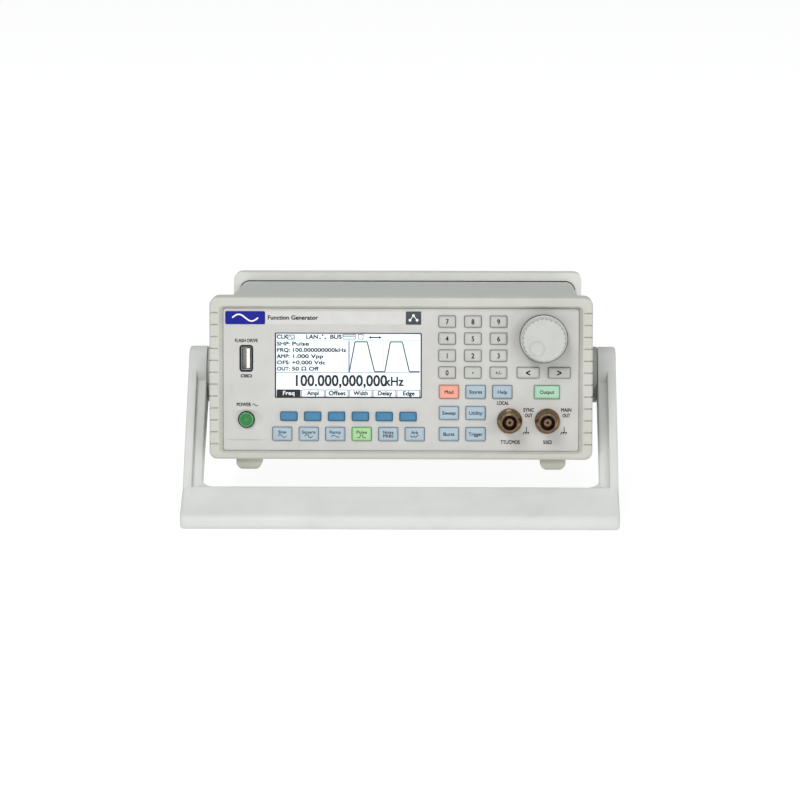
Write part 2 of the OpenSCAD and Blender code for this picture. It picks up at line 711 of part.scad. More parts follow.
// Side profile of one arm, with its front edge set back by step
function arm_outline(step) = [[0, arm_w / 2 - step], [arm_l - arm_foot, arm_end_w / 2 - step],
    bend + (bar_t / 2 - bar_bevel) * across + arm_foot * along,
    bend - bar_t / 2 * across + arm_foot * along,
    [arm_l - arm_foot, -arm_end_w / 2], [0, -arm_w / 2]];
bar_outline = concat(
    arc(bar_end, bar_t / 2, bar_kick - 90, bar_kick + 90, 16),
    [bend + bar_t / 2 * across + bar_bevel * along,
     bend + (bar_t / 2 - bar_bevel) * across,
     bend - bar_t / 2 * across]);

module handle() color("#d0d2cf") place() difference() {
    union() {
        for (side = [-1, 1]) {
            on_pivot(side * (boss_x + handle_x) / 2, handle_x - boss_x, boss_r);
            profile(side * (handle_x - flange_t / 2), flange_t, arm_outline(0));
            profile(side * (boss_x + (web_t + 1) / 2), web_t + 1, arm_outline(web_step));
        }
        profile(0, 2 * handle_x, bar_outline);
    }
    for (side = [-1, 1])
        on_pivot(side * (boss_x + pin_l / 2), pin_l + pin_end_gap, pivot_pin_d / 2 + pivot_fit);
}

module pivot_bosses() color("#2b2c2d") place() for (side = [-1, 1]) {
    on_pivot(side * (cover_half_w + disc_t / 2), disc_t, boss_r);
    on_pivot(side * (cover_half_w + (arm_gap + pin_l) / 2), arm_gap + pin_l, pivot_pin_d / 2);
}

// One key: its cap, and the flange that keeps it behind the panel
module key_cap(k) color(k[5]) place() {
    slab(panel_recess - key_proud, key_proud + panel_t + flange_gap)
        round_rect(k[1], k[2], k[3], k[4], key_r);
    slab(panel_back + flange_gap, key_flange)
        round_rect(k[1], k[2], k[3] + 2 * key_flange, k[4] + 2 * key_flange, key_r);
}

module power_button() color("#46a05a") place() {
    rod(power_x, power_z, power_d / 2, panel_recess - key_proud, key_proud + panel_t + flange_gap);
    rod(power_x, power_z, power_d / 2 + key_flange, panel_back + flange_gap, key_flange);
}

module control_knob() color("#c3c5c1") place() difference() {
    union() {
        rod(knob_x, knob_z, knob_d / 2, panel_recess - knob_h + knob_rim_t,
            knob_h - knob_gap - knob_rim_t);
        rod(knob_x, knob_z, knob_d / 2 - knob_rim, panel_recess - knob_h, knob_rim_t + fine);
    }
    translate([knob_x - dimple_offset, panel_recess - knob_h - dimple_r + dimple_depth,
        knob_z - dimple_offset]) sphere(r = dimple_r);
    rod(knob_x, knob_z, shaft_d / 2 - shaft_press, shaft_front, knob_h);
    rod(knob_x, knob_z, bush_d / 2 + 1, panel_recess - knob_gap - bush_proud, 2 * bush_proud);
}

module encoder_shaft() color("#8b8f92") place()
    rod(knob_x, knob_z, shaft_d / 2, shaft_front, board_y - shaft_end - shaft_front);

module encoder_body() color("#5f6468") place() difference() {
    union() {
        slab(panel_back, display_t) square_at(knob_x, knob_z, encoder_w, encoder_w);
        rod(knob_x, knob_z, bush_d / 2, panel_recess - bush_proud, bush_proud + panel_t + fine);
    }
    rod(knob_x, knob_z, shaft_d / 2 + shaft_fit, panel_recess - bush_proud - fine,
        board_y - shaft_end + shaft_gap - panel_recess + bush_proud);
}

for (k = KEYS) key_cap(k);
handle();
pivot_bosses();
control_knob();
encoder_shaft();
encoder_body();
power_button();
fuse_drawer();
front_bezel();
front_panel();
display_window();
lcd_module();
keypad_mat();
front_board();
usb_host_socket();
bnc_sockets_front();
bnc_sockets_rear();
top_cover();
chassis_tray();
rear_bezel();
rear_panel();
mains_inlet();
data_sockets();
main_board();
power_supply();
feet();
screws();
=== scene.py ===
"""Looks of a bench function generator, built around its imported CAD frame.

Every piece is drawn level, in millimetres, in the instrument's own directions: X to the
right, Y from the front bezel's face to the rear and Z up from mid-height. Bench turns that
into the frame's metres and puts each piece on the body that it moves with.
"""

import json
import logging
import math
from collections.abc import Callable, Iterable, Sequence
from dataclasses import dataclass, field
from enum import Enum

import bmesh
import bpy
from mathutils import Matrix, Vector


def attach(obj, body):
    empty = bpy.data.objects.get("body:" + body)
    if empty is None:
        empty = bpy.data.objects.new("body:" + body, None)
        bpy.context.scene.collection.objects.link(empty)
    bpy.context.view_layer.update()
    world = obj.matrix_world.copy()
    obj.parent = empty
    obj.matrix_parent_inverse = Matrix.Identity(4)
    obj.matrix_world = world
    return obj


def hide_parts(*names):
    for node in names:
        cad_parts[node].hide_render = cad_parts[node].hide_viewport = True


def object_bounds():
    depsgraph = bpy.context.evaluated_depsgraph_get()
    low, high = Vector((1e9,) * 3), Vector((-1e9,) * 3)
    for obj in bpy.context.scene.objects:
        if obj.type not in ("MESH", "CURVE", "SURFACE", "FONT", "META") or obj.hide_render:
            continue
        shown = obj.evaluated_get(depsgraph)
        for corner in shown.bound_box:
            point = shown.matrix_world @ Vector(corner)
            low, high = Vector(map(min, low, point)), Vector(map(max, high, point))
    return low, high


LOG = logging.getLogger("function_generator")
MM = 0.001
Point = tuple[float, float]
Ring = list[Vector]

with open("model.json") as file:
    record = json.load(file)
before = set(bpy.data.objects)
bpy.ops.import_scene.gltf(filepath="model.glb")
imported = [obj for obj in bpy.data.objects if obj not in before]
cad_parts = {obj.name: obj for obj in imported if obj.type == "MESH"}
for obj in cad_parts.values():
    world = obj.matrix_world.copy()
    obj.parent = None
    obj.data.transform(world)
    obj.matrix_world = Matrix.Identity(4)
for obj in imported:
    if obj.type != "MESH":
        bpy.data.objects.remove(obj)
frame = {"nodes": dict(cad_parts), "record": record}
CAD_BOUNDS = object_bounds()


def linear_rgb(code: str) -> tuple[float, float, float, float]:
    """Turns an sRGB hex colour into linear light.

    Args:
        code: Six hex digits, with or without a leading hash.

    Returns:
        Linear red, green and blue, and an alpha of 1.
    """
    digits = code.lstrip("#")
    channels = [int(digits[i:i + 2], 16) / 255 for i in (0, 2, 4)]
    linear = [c / 12.92 if c <= 0.04045 else ((c + 0.055) / 1.055) ** 2.4 for c in channels]
    return (linear[0], linear[1], linear[2], 1.0)


def add_node(tree: bpy.types.NodeTree, kind: str, settings: dict | None = None,
             links: dict | None = None) -> bpy.types.Node:
    """Adds a shader node with its settings and its incoming links.

    Args:
        tree: The node tree of a material or a world.
        kind: The node's Blender type name.
        settings: Values by socket name, or by property name where no socket has it.
        links: Output sockets by the name or index of the input that they feed.

    Returns:
        The new node.
    """
    node = tree.nodes.new(kind)
    for name, value in (settings or {}).items():
        if name in node.inputs:
            node.inputs[name].default_value = value
        else:
            setattr(node, name, value)
    for name, source in (links or {}).items():
        tree.links.new(source, node.inputs[name])
    return node


def set_ramp(ramp: bpy.types.Node, stops: Sequence[tuple[float, str]]) -> None:
    """Sets a colour ramp's first and last stops.

    Args:
        ramp: A colour ramp node with its two default stops.
        stops: Two positions, each with a hex colour.
    """
    for element, (place, code) in zip(ramp.color_ramp.elements, stops):
        element.position = place
        element.color = linear_rgb(code)


def shifted(code: str, amount: float) -> str:
    """Returns a hex colour made lighter or darker.

    Args:
        code: The colour as hex digits.
        amount: The share of full scale to add to each channel.

    Returns:
        The new colour as hex digits.
    """
    digits = code.lstrip("#")
    channels = [int(digits[i:i + 2], 16) + round(255 * amount) for i in (0, 2, 4)]
    return "#" + "".join(f"{min(255, max(0, c)):02x}" for c in channels)


class Surface(Enum):
    """Which way the grain of a finish runs in its bump and gloss."""

    EVEN = "even"
    BRUSHED = "brushed"


@dataclass(frozen=True)
class Finish:
    """An opaque material with a grain, a slight mottling and an uneven gloss.

    Attributes:
        name: The material's name.
        colour: Mean colour, as sRGB hex.
        roughness: Mean roughness of the surface.
        surface: Which way the grain runs.
        grain_mm: Size of one grain, ripple or brush line.
        grain_depth: Strength of the grain's bump.
        mottling: How far the colour strays from the mean, as a share of full scale.
        metallic: 1 for bare metal.
        ior: Index of refraction; a metal keeps the default.
        coat: Weight of a clear coat.
        glow: Strength of the light that the surface gives off.
    """

    name: str
    colour: str
    roughness: float
    surface: Surface = Surface.EVEN
    grain_mm: float = 0.8
    grain_depth: float = 0.12
    mottling: float = 0.012
    metallic: float = 0.0
    ior: float = 1.5
    coat: float = 0.0
    glow: float = 0.0

    def _coordinates(self, tree: bpy.types.NodeTree) -> bpy.types.NodeSocket:
        """Returns the pattern's coordinates, drawn out along X for brushed metal."""
        place = add_node(tree, "ShaderNodeTexCoord")
        stretch = (0.02, 1.0, 1.0) if self.surface is Surface.BRUSHED else (1.0, 1.0, 1.0)
        turned = add_node(tree, "ShaderNodeMapping", {"Scale": stretch},
                          {"Vector": place.outputs["Object"]})
        return turned.outputs["Vector"]

    def build(self) -> bpy.types.Material:
        """Makes the material's nodes.

        Returns:
            The finished material.
        """
        material = bpy.data.materials.new(self.name)
        material.use_nodes = True
        tree = material.node_tree
        tree.nodes.clear()
        where = self._coordinates(tree)
        fine = add_node(tree, "ShaderNodeTexNoise",
                        {"Scale": 1 / (self.grain_mm * MM), "Detail": 3.0, "Roughness": 0.6},
                        {"Vector": where})
        broad = add_node(tree, "ShaderNodeTexNoise",
                         {"Scale": 1 / (22 * self.grain_mm * MM), "Detail": 2.0},
                         {"Vector": where})
        colour = add_node(tree, "ShaderNodeValToRGB", {}, {"Fac": broad.outputs["Fac"]})
        set_ramp(colour, [(0.3, shifted(self.colour, -self.mottling)),
                          (0.7, shifted(self.colour, self.mottling))])
        gloss = add_node(tree, "ShaderNodeMapRange",
                         {"To Min": max(0.03, self.roughness - 0.07),
                          "To Max": min(1.0, self.roughness + 0.07)},
                         {"Value": fine.outputs["Fac"]})
        bump = add_node(tree, "ShaderNodeBump",
                        {"Strength": self.grain_depth, "Distance": 0.15 * MM},
                        {"Height": fine.outputs["Fac"]})
        skin = add_node(tree, "ShaderNodeBsdfPrincipled",
                        {"Metallic": self.metallic, "IOR": self.ior, "Coat Weight": self.coat,
                         "Emission Strength": self.glow,
                         "Emission Color": linear_rgb(self.colour)},
                        {"Base Color": colour.outputs["Color"],
                         "Roughness": gloss.outputs["Result"], "Normal": bump.outputs["Normal"]})
        add_node(tree, "ShaderNodeOutputMaterial", {}, {"Surface": skin.outputs["BSDF"]})
        material.diffuse_color = linear_rgb(self.colour)
        return material


@dataclass(frozen=True)
class ClearWindow:
    """Clear acrylic sheet with a faint hard-coat ripple, seen almost only by its gloss.

    Attributes:
        name: The material's name.
        tint: Colour of the sheet, as sRGB hex.
        cover: How much of what lies behind it the sheet hides.
    """

    name: str = "clear_acrylic_window"
    tint: str = "#f4f8fa"
    cover: float = 0.02

    def build(self) -> bpy.types.Material:
        """Makes the material's nodes and returns it."""
        material = bpy.data.materials.new(self.name)
        material.use_nodes = True
        tree = material.node_tree
        tree.nodes.clear()
        place = add_node(tree, "ShaderNodeTexCoord")
        ripple = add_node(tree, "ShaderNodeTexNoise", {"Scale": 1 / (30 * MM), "Detail": 1.0},
                          {"Vector": place.outputs["Object"]})
        tint = add_node(tree, "ShaderNodeValToRGB", {}, {"Fac": ripple.outputs["Fac"]})
        set_ramp(tint, [(0.2, self.tint), (0.8, shifted(self.tint, 0.02))])
        skin = add_node(tree, "ShaderNodeBsdfPrincipled",
                        {"Roughness": 0.08, "IOR": 1.49, "Alpha": self.cover},
                        {"Base Color": tint.outputs["Color"]})
        add_node(tree, "ShaderNodeOutputMaterial", {}, {"Surface": skin.outputs["BSDF"]})
        material.diffuse_color = linear_rgb(self.tint)
        return material


class Finishes:
    """Every material of the instrument, made once and handed out by name."""

    # ABS from a spark-eroded mould: an even, matt, warm grey with no highlights of its own
    case_abs = Finish("spark_eroded_abs", "#c1c1b8", 0.52, grain_mm=0.7, grain_depth=0.10)
    # The rear bezel: the same plastic with a finer grain, painted a little paler than the case as
    # painted light, brightening a face that the floor's light does not reach
    rear_abs = Finish("smooth_abs_painted_light", "#d8d8d0", 0.5, grain_mm=0.7, grain_depth=0.08)
    # The panel's plastic: a finer grain than the case, so it shows a soft sheen
    panel_abs = Finish("satin_panel_abs", "#c3c2be", 0.46, grain_mm=0.6, grain_depth=0.06)
    # The handle: paler and cooler than the case, with a coarser grain
    handle_abs = Finish("tough_handle_abs", "#cdcfcb", 0.5, grain_mm=0.9, grain_depth=0.10)
    # Knob moulding: satin on top, with a soft edge highlight along its scallops
    knob_abs = Finish("satin_knob_abs", "#bcbeb9", 0.4, grain_mm=0.5, grain_depth=0.04, coat=0.1)
    # Powder paint on sheet steel: orange-peel ripples about a millimetre across
    powder_paint = Finish("powder_painted_steel", "#bdc1bc", 0.48,
                          grain_mm=1.1, grain_depth=0.16, mottling=0.005)
    # Black nylon mouldings: near black, with a dull grey sheen
    black_nylon = Finish("black_nylon", "#0f1012", 0.5, grain_mm=0.6, grain_depth=0.1, ior=1.36)
    # The pivot bosses: matt plastic, painted a darker grey than the case as painted shade where
    # they sit between the arm and the case
    boss_abs = Finish("shaded_boss_abs", "#969a93", 0.55, grain_mm=0.7, grain_depth=0.1)
    # Grey rubber of the feet: quite matt, with slight wear in its colour
    foot_rubber = Finish("grey_rubber", "#b4b5a8", 0.72, grain_mm=0.8, mottling=0.03)
    # Silicone keys: a dry, even matt skin that keeps its colour saturated
    soft_blue = Finish("blue_silicone", "#3e7ba0", 0.5, grain_mm=0.5, grain_depth=0.05)
    sky_blue = Finish("sky_blue_silicone", "#a4b7c2", 0.5, grain_mm=0.5, grain_depth=0.05)
    leaf_green = Finish("leaf_green_silicone", "#a0cd95", 0.5, grain_mm=0.5, grain_depth=0.05)
    mint_green = Finish("mint_green_silicone", "#a3c9ad", 0.5, grain_mm=0.5, grain_depth=0.05)
    salmon = Finish("salmon_silicone", "#e7a08c", 0.5, grain_mm=0.5, grain_depth=0.05)
    stone = Finish("stone_grey_silicone", "#b9bab4", 0.5, grain_mm=0.5, grain_depth=0.05)
    # Translucent green button: glossier than the keys, lit a little from inside
    lamp_green = Finish("lamp_green_acrylic", "#3a8a4c", 0.3, grain_mm=0.5, grain_depth=0.03,
                        coat=0.3, glow=0.06)
    # Screen-printing ink: dry and slightly grey, never fully black
    black_ink = Finish("black_screen_ink", "#101113", 0.6, grain_mm=0.3, grain_depth=0.03,
                       ior=1.25)
    white_ink = Finish("white_screen_ink", "#f2f3f1", 0.6, grain_mm=0.3, grain_depth=0.03)
    key_ink = Finish("grey_key_ink", "#15181c", 0.6, grain_mm=0.3, grain_depth=0.03, ior=1.25)
    blue_badge = Finish("blue_badge_enamel", "#1a2088", 0.35, grain_mm=0.4, grain_depth=0.03,
                        ior=1.3)
    slate_badge = Finish("slate_badge_enamel", "#3c4347", 0.35, grain_mm=0.4, grain_depth=0.03)
    # Polyester label laid over the panel: a shade paler than the moulding
    label_film = Finish("pale_label_film", "#cccbc7", 0.42, grain_mm=0.4, grain_depth=0.03)
    # Nickel on brass: warm reflections from the brass where the plate is thin
    warm_nickel = Finish("nickel_on_brass", "#947c62", 0.2, grain_mm=0.35,
                         grain_depth=0.08, mottling=0.05, metallic=1.0)
    # The rear sockets: paler nickel than the front pair, with no brass showing
    pale_nickel = Finish("bright_nickel", "#a9a39a", 0.24, grain_mm=0.35,
                         grain_depth=0.06, metallic=1.0)
    # The socket's inside catches little light and shows the brass
    dark_brass = Finish("shaded_brass", "#5c4230", 0.34, grain_mm=0.35,
                        grain_depth=0.08, mottling=0.05, metallic=1.0)
    # Stamped and plated steel of the sockets' shells
    plated_steel = Finish("plated_steel", "#b9bcbe", 0.26, Surface.BRUSHED, grain_mm=0.2,
                          grain_depth=0.05, metallic=1.0)
    # Brushed sheet of the rear panel and the supply's can: fine lines along X
    brushed_sheet = Finish("brushed_aluminium", "#c0c2c0", 0.36, Surface.BRUSHED, grain_mm=0.25,
                           grain_depth=0.08, metallic=0.85)
    gold_contact = Finish("gold_flash", "#c9a24e", 0.25, grain_mm=0.2,
                          grain_depth=0.04, metallic=1.0)
    # PTFE inside the coaxial sockets: dull, and painted dark brown as painted shade, so that it
    # sits back in the bore
    ptfe = Finish("insulator_painted_shade", "#7d6550", 0.5, grain_mm=0.3, grain_depth=0.03)
    # Lit white display with a faint cool tint between its cells
    display_white = Finish("white_display_film", "#dfe9ee", 0.5, grain_mm=0.4, grain_depth=0.02,
                           mottling=0.006, glow=0.36)
    display_black = Finish("black_display_cell", "#0b0c0f", 0.5, grain_mm=0.3, grain_depth=0.02,
                           ior=1.12)
    display_slate = Finish("slate_display_cell", "#7f86a8", 0.5, grain_mm=0.3, grain_depth=0.02)
    display_blue = Finish("blue_display_cell", "#9fc4e4", 0.5, grain_mm=0.3, grain_depth=0.02,
                          glow=0.3)
    # Fibreglass board under green solder mask, with the weave just showing
    green_board = Finish("green_solder_mask", "#2c6843", 0.4, grain_mm=0.5, mottling=0.02)
    grey_silicone = Finish("grey_silicone_mat", "#6b6f73", 0.65, grain_mm=0.6)
    # Clear acrylic: nearly all gloss and no colour
    window = ClearWindow()

    def __init__(self) -> None:
        """Starts with no material made."""
        self.made: dict[str, bpy.types.Material] = {}

    def get(self, finish: Finish | ClearWindow) -> bpy.types.Material:
        """Returns a finish's material, making it the first time."""
        if finish.name not in self.made:
            self.made[finish.name] = finish.build()
        return self.made[finish.name]


def arc(centre: Point, radius: float, start: float, end: float, steps: int) -> list[Point]:
    """Returns points along a circular arc.

    Args:
        centre: The arc's centre.
        radius: Its radius.
        start: The first angle, in degrees.
        end: The last angle, in degrees.
        steps: The number of segments.
    """
    angles = [math.radians(start + (end - start) * i / steps) for i in range(steps + 1)]
    return [(centre[0] + radius * math.cos(a), centre[1] + radius * math.sin(a)) for a in angles]


def rounded(width: float, height: float, radius: float, steps: int = 6,
            centre: Point = (0.0, 0.0)) -> list[Point]:
    """Returns the outline of a rectangle with round corners.

    Args:
        width: Size across.
        height: Size up.
        radius: Corner radius.
        steps: Segments in each corner.
        centre: Middle of the rectangle.
    """
    radius = max(0.01, min(radius, width / 2 - 0.005, height / 2 - 0.005))
    reach = (width / 2 - radius, height / 2 - radius)
    outline: list[Point] = []
    for quarter, (sx, sz) in enumerate(((1, 1), (-1, 1), (-1, -1), (1, -1))):
        corner = (centre[0] + sx * reach[0], centre[1] + sz * reach[1])
        outline += arc(corner, radius, 90 * quarter, 90 * quarter + 90, steps)
    return outline


def circle(radius: float, steps: int = 48, centre: Point = (0.0, 0.0)) -> list[Point]:
    """Returns the outline of a circle."""
    return arc(centre, radius, 0, 360 - 360 / steps, steps - 1)


def across_y(outline: Iterable[Point], y: float) -> Ring:
    """Lays an X-Z outline in the plane at depth y."""
    return [Vector((x, y, z)) for x, z in outline]


def across_x(outline: Iterable[Point], x: float) -> Ring:
    """Lays a Y-Z outline in the plane at x."""
    return [Vector((x, y, z)) for y, z in outline]


def loft(rings: Sequence[Ring], closed: bool = False) -> bmesh.types.BMesh:
    """Skins a run of rings that have the same number of points.

    Args:
        rings: The rings in order.
        closed: Joins the last ring to the first, as for a frame; otherwise both ends are capped.

    Returns:
        A closed mesh with its normals outwards.
    """
    mesh = bmesh.new()
    rows = [[mesh.verts.new(p) for p in ring] for ring in rings]
    count = len(rings[0])
    pairs = list(zip(rows, rows[1:])) + ([(rows[-1], rows[0])] if closed else [])
    for near, far in pairs:
        for i in range(count):
            j = (i + 1) % count
            mesh.faces.new((near[i], near[j], far[j], far[i]))
    if not closed:
        mesh.faces.new(rows[0])
        mesh.faces.new(list(reversed(rows[-1])))
    bmesh.ops.recalc_face_normals(mesh, faces=mesh.faces)
    return mesh


def joined(meshes: Sequence[bmesh.types.BMesh]) -> bmesh.types.BMesh:
    """Copies several meshes into the first one and frees the rest."""
    whole = meshes[0]
    for other in meshes[1:]:
        spare = bpy.data.meshes.new("spare")
        other.to_mesh(spare)
        whole.from_mesh(spare)
        bpy.data.meshes.remove(spare)
        other.free()
    return whole


def slab(outline: Sequence[Point], y0: float, y1: float, edge: float = 0.0,
         edge_back: float = 0.0) -> bmesh.types.BMesh:
    """Extrudes an outline from y0 back to y1, with its front and back edges eased.

    Args:
        outline: A convex outline in X and Z.
        y0: Depth of the front.
        y1: Depth of the back.
        edge: Size of the front edge's rounding.
        edge_back: Size of the back edge's rounding.
    """
    rings = []
    middle = (sum(p[0] for p in outline) / len(outline), sum(p[1] for p in outline) / len(outline))
    reach_x = max(abs(p[0] - middle[0]) for p in outline)
    reach_z = max(abs(p[1] - middle[1]) for p in outline)

    def inset(amount: float) -> list[Point]:
        """Draws the outline in by amount."""
        fx, fz = 1 - amount / reach_x, 1 - amount / reach_z
        return [(middle[0] + (x - middle[0]) * fx, middle[1] + (z - middle[1]) * fz)
                for x, z in outline]

    for size, place, turn in ((edge, y0, 1), (edge_back, y1, -1)):
        steps = 3 if size > 0 else 0
        angles = [90 * i / steps for i in range(steps + 1)] if steps else [90.0]
        run = [across_y(inset(size * (1 - math.sin(math.radians(a)))),
                        place + turn * size * (1 - math.cos(math.radians(a)))) for a in angles]
        rings += run if turn == 1 else list(reversed(run))
    return loft(rings)


def lathe(profile: Sequence[Point], centre: Point, steps: int = 64,
          ripple: Callable[[float, float], float] | None = None,
          closed: bool = False) -> bmesh.types.BMesh:
    """Turns a profile round an axis along Y.

    Args:
        profile: Radius and depth of each ring, from front to back.
        centre: X and Z of the axis.
        steps: Facets round the axis.
        ripple: Extra radius from the angle and the ring's own radius.
        closed: True for a tube, whose last ring joins its first.
    """
    rings = []
    for radius, y in profile:
        ring = []
        for i in range(steps):
            angle = 2 * math.pi * i / steps
            r = max(0.02, radius + (ripple(angle, radius) if ripple else 0.0))
            ring.append(Vector((centre[0] + r * math.cos(angle), y,
                                centre[1] + r * math.sin(angle))))
        rings.append(ring)
    return loft(rings, closed)


def combined(base: bmesh.types.BMesh, tool: bmesh.types.BMesh, how: str) -> bmesh.types.BMesh:
    """Cuts one mesh with another, or fuses them.

    Args:
        base: The mesh to work on, which is freed.
        tool: The cutting or added mesh, which is freed.
        how: DIFFERENCE, UNION or INTERSECT.

    Returns:
        The resulting mesh.
    """
    things = []
    for name, source in (("base", base), ("tool", tool)):
        data = bpy.data.meshes.new(name)
        source.to_mesh(data)
        source.free()
        thing = bpy.data.objects.new(name, data)
        bpy.context.scene.collection.objects.link(thing)
        things.append(thing)
    cut = things[0].modifiers.new("cut", "BOOLEAN")
    cut.object, cut.operation, cut.solver = things[1], how, "EXACT"
    bpy.context.view_layer.update()
    result = bmesh.new()
    result.from_object(things[0], bpy.context.evaluated_depsgraph_get())
    for thing in things:
        data = thing.data
        bpy.data.objects.remove(thing)
        bpy.data.meshes.remove(data)
    bmesh.ops.remove_doubles(result, verts=result.verts, dist=1e-4)
    return result


def ribbon(points: Sequence[Point], width: float) -> list[Point]:
    """Returns the outline of a stroke of constant width along a path.

    Args:
        points: The path, in X and Z.
        width: The stroke's width.
    """
    sides: tuple[list[Point], list[Point]] = ([], [])
    for i, here in enumerate(points):
        before, after = points[max(0, i - 1)], points[min(len(points) - 1, i + 1)]
        first = Vector((here[0] - before[0], here[1] - before[1]))
        second = Vector((after[0] - here[0], after[1] - here[1]))
        first = first.normalized() if first.length else second.normalized()
        second = second.normalized() if second.length else first
        normal = Vector((-(first + second).y, (first + second).x)).normalized()
        reach = width / 2 / max(0.4, abs(normal.dot(Vector((-second.y, second.x)))))
        sides[0].append((here[0] + reach * normal.x, here[1] + reach * normal.y))
        sides[1].append((here[0] - reach * normal.x, here[1] - reach * normal.y))
    return sides[0] + sides[1][::-1]


@dataclass(frozen=True)
class Lettering:
    """One line of print on a face.

    Attributes:
        text: The characters.
        x: Where the line's middle, or its start, lies across.
        z: Height of the line's middle.
        cap: Height of its capitals.
        squeeze: Width of the letters as a share of the font's own.
        left: True if x is the line's left end.
        bold: Half of the extra weight of the strokes, as a share of the capitals' height.
        width: Width of the whole line; it replaces squeeze.
        boxed: True if the marks themselves are centred, whatever the font's baseline.
    """

    text: str
    x: float
    z: float
    cap: float
    squeeze: float = 0.86
    left: bool = False
    bold: float = 0.036
    width: float = 0.0
    boxed: bool = False

    def mesh(self, y: float, rear: bool = False) -> bmesh.types.BMesh:
        """Draws the line as thin raised letters.

        Args:
            y: Depth of the letters' face.
            rear: True if the line is read from behind the instrument.

        Returns:
            The letters, in level millimetres.
        """
        curve = bpy.data.curves.new("lettering", "FONT")
        curve.body, curve.size = self.text, self.cap / 0.72
        curve.align_x, curve.align_y = ("LEFT" if self.left else "CENTER"), "CENTER"
        curve.extrude = 0.02
        curve.resolution_u = 3
        thing = bpy.data.objects.new("lettering", curve)
        bpy.context.scene.collection.objects.link(thing)
        bpy.context.view_layer.update()
        letters = bmesh.new()
        solved = thing.evaluated_get(bpy.context.evaluated_depsgraph_get())
        spare = bpy.data.meshes.new_from_object(solved)
        letters.from_mesh(spare)
        bpy.data.objects.remove(thing)
        bpy.data.curves.remove(curve)
        bpy.data.meshes.remove(spare)
        bmesh.ops.remove_doubles(letters, verts=letters.verts, dist=1e-4)
        spread = [v.co.x for v in letters.verts]
        squeeze = self.width / (max(spread) - min(spread)) if self.width else self.squeeze
        heights = [v.co.y for v in letters.verts]
        drop = -(max(heights) + min(heights)) / 2 if self.boxed else 0.0
        way = -1.0 if rear else 1.0
        turn = Matrix(((way * squeeze, 0, 0, self.x), (0, 0, -way, y), (0, 1, 0, self.z + drop),
                       (0, 0, 0, 1)))
        bmesh.ops.transform(letters, matrix=turn, verts=letters.verts)
        reach = self.bold * self.cap
        copies = []
        for i, (across, up) in enumerate(((-1, -1), (1, -1), (-1, 1), (1, 1))):
            copy = letters.copy()
            bmesh.ops.translate(copy, vec=Vector((across * reach, -way * 0.004 * i, up * reach)),
                                verts=copy.verts)
            copies.append(copy)
        letters.free()
        return joined(copies)


class Bench:
    """Turns level millimetres into the frame's metres and puts pieces on their bodies."""

    def __init__(self, finishes: Finishes) -> None:
        """Finds the instrument's lean and its level origin from the frame.

        Args:
            finishes: The materials to dress pieces with.
        """
        self.finishes = finishes
        record = frame["record"]
        self.joints = {j["name"]: j for j in record["behaviour"]["joints"]}
        self.slots = {s["node"]: s["material_slot"] for s in record["subparts"]}
        back = self.joints["power_press"]["axis"]
        self.turn = Matrix.Rotation(math.atan2(back[2], back[1]), 4, "X")
        lowest, highest = self._spread("front_bezel")
        self.origin = Vector(((lowest.x + highest.x) / 2, lowest.y, (lowest.z + highest.z) / 2))
        self.place = self.turn @ Matrix.Translation(self.origin) @ Matrix.Scale(MM, 4)

    def _spread(self, node: str) -> tuple[Vector, Vector]:
        """Returns a CAD node's corners after the lean is taken out, in metres."""
        undo = self.turn.inverted()
        points = [undo @ v.co for v in frame["nodes"][node].data.vertices]
        return (Vector([min(p[i] for p in points) for i in range(3)]),
                Vector([max(p[i] for p in points) for i in range(3)]))

    def box(self, node: str) -> tuple[Vector, Vector]:
        """Returns a CAD node's lowest and highest corners in level millimetres."""
        lowest, highest = self._spread(node)
        return (lowest - self.origin) / MM, (highest - self.origin) / MM

    def level(self, point: Sequence[float]) -> Vector:
        """Returns a point of the frame in level millimetres."""
        return self.place.inverted() @ Vector(point)

    def piece(self, name: str, mesh: bmesh.types.BMesh, finish: Finish | ClearWindow, body: str,
              node: str | None = None, crease: float = 32.0) -> bpy.types.Object:
        """Makes a finished piece from a level mesh.

        Args:
            name: The piece's name.
            mesh: Its mesh in level millimetres, which is freed.
            finish: Its material.
            body: The CAD body that it moves with.
            node: The CAD node that it stands for, if any.
            crease: Edges sharper than this many degrees stay crisp.

        Returns:
            The new object.
        """
        bmesh.ops.transform(mesh, matrix=self.place, verts=mesh.verts)
        bmesh.ops.recalc_face_normals(mesh, faces=mesh.faces)
        data = bpy.data.meshes.new(name)
        mesh.to_mesh(data)
        mesh.free()
        data.materials.append(self.finishes.get(finish))
        data.shade_smooth()
        data.set_sharp_from_angle(angle=math.radians(crease))
        thing = bpy.data.objects.new(name, data)
        bpy.context.scene.collection.objects.link(thing)
        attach(thing, body)
        if node:
            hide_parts(node)
        LOG.info("%s rides on %s", name, body)
        return thing

    def print_on(self, name: str, lines: Iterable[Lettering], y: float, finish: Finish, body: str,
                 marks: Sequence[bmesh.types.BMesh] = (), rear: bool = False) -> bpy.types.Object:
        """Prints lines of text and marks as one piece.

        Args:
            name: The piece's name.
            lines: The lines of text.
            y: Depth of the print's face.
            finish: The ink.
            body: The CAD body that it moves with.
            marks: Further level meshes in the same ink.
            rear: True if it is read from behind the instrument.

        Returns:
            The new object.
        """
        meshes = [line.mesh(y, rear) for line in lines] + list(marks)
        return self.piece(name, joined(meshes), finish, body)

    def dress(self, node: str, finish: Finish | ClearWindow) -> None:
        """Gives a CAD node that stays visible its material."""
        thing = frame["nodes"][node]
        material = self.finishes.get(finish)
        for slot in thing.material_slots:
            slot.material = material
        if not thing.material_slots:
            thing.data.materials.append(material)
        LOG.info("%s keeps its CAD shape", node)


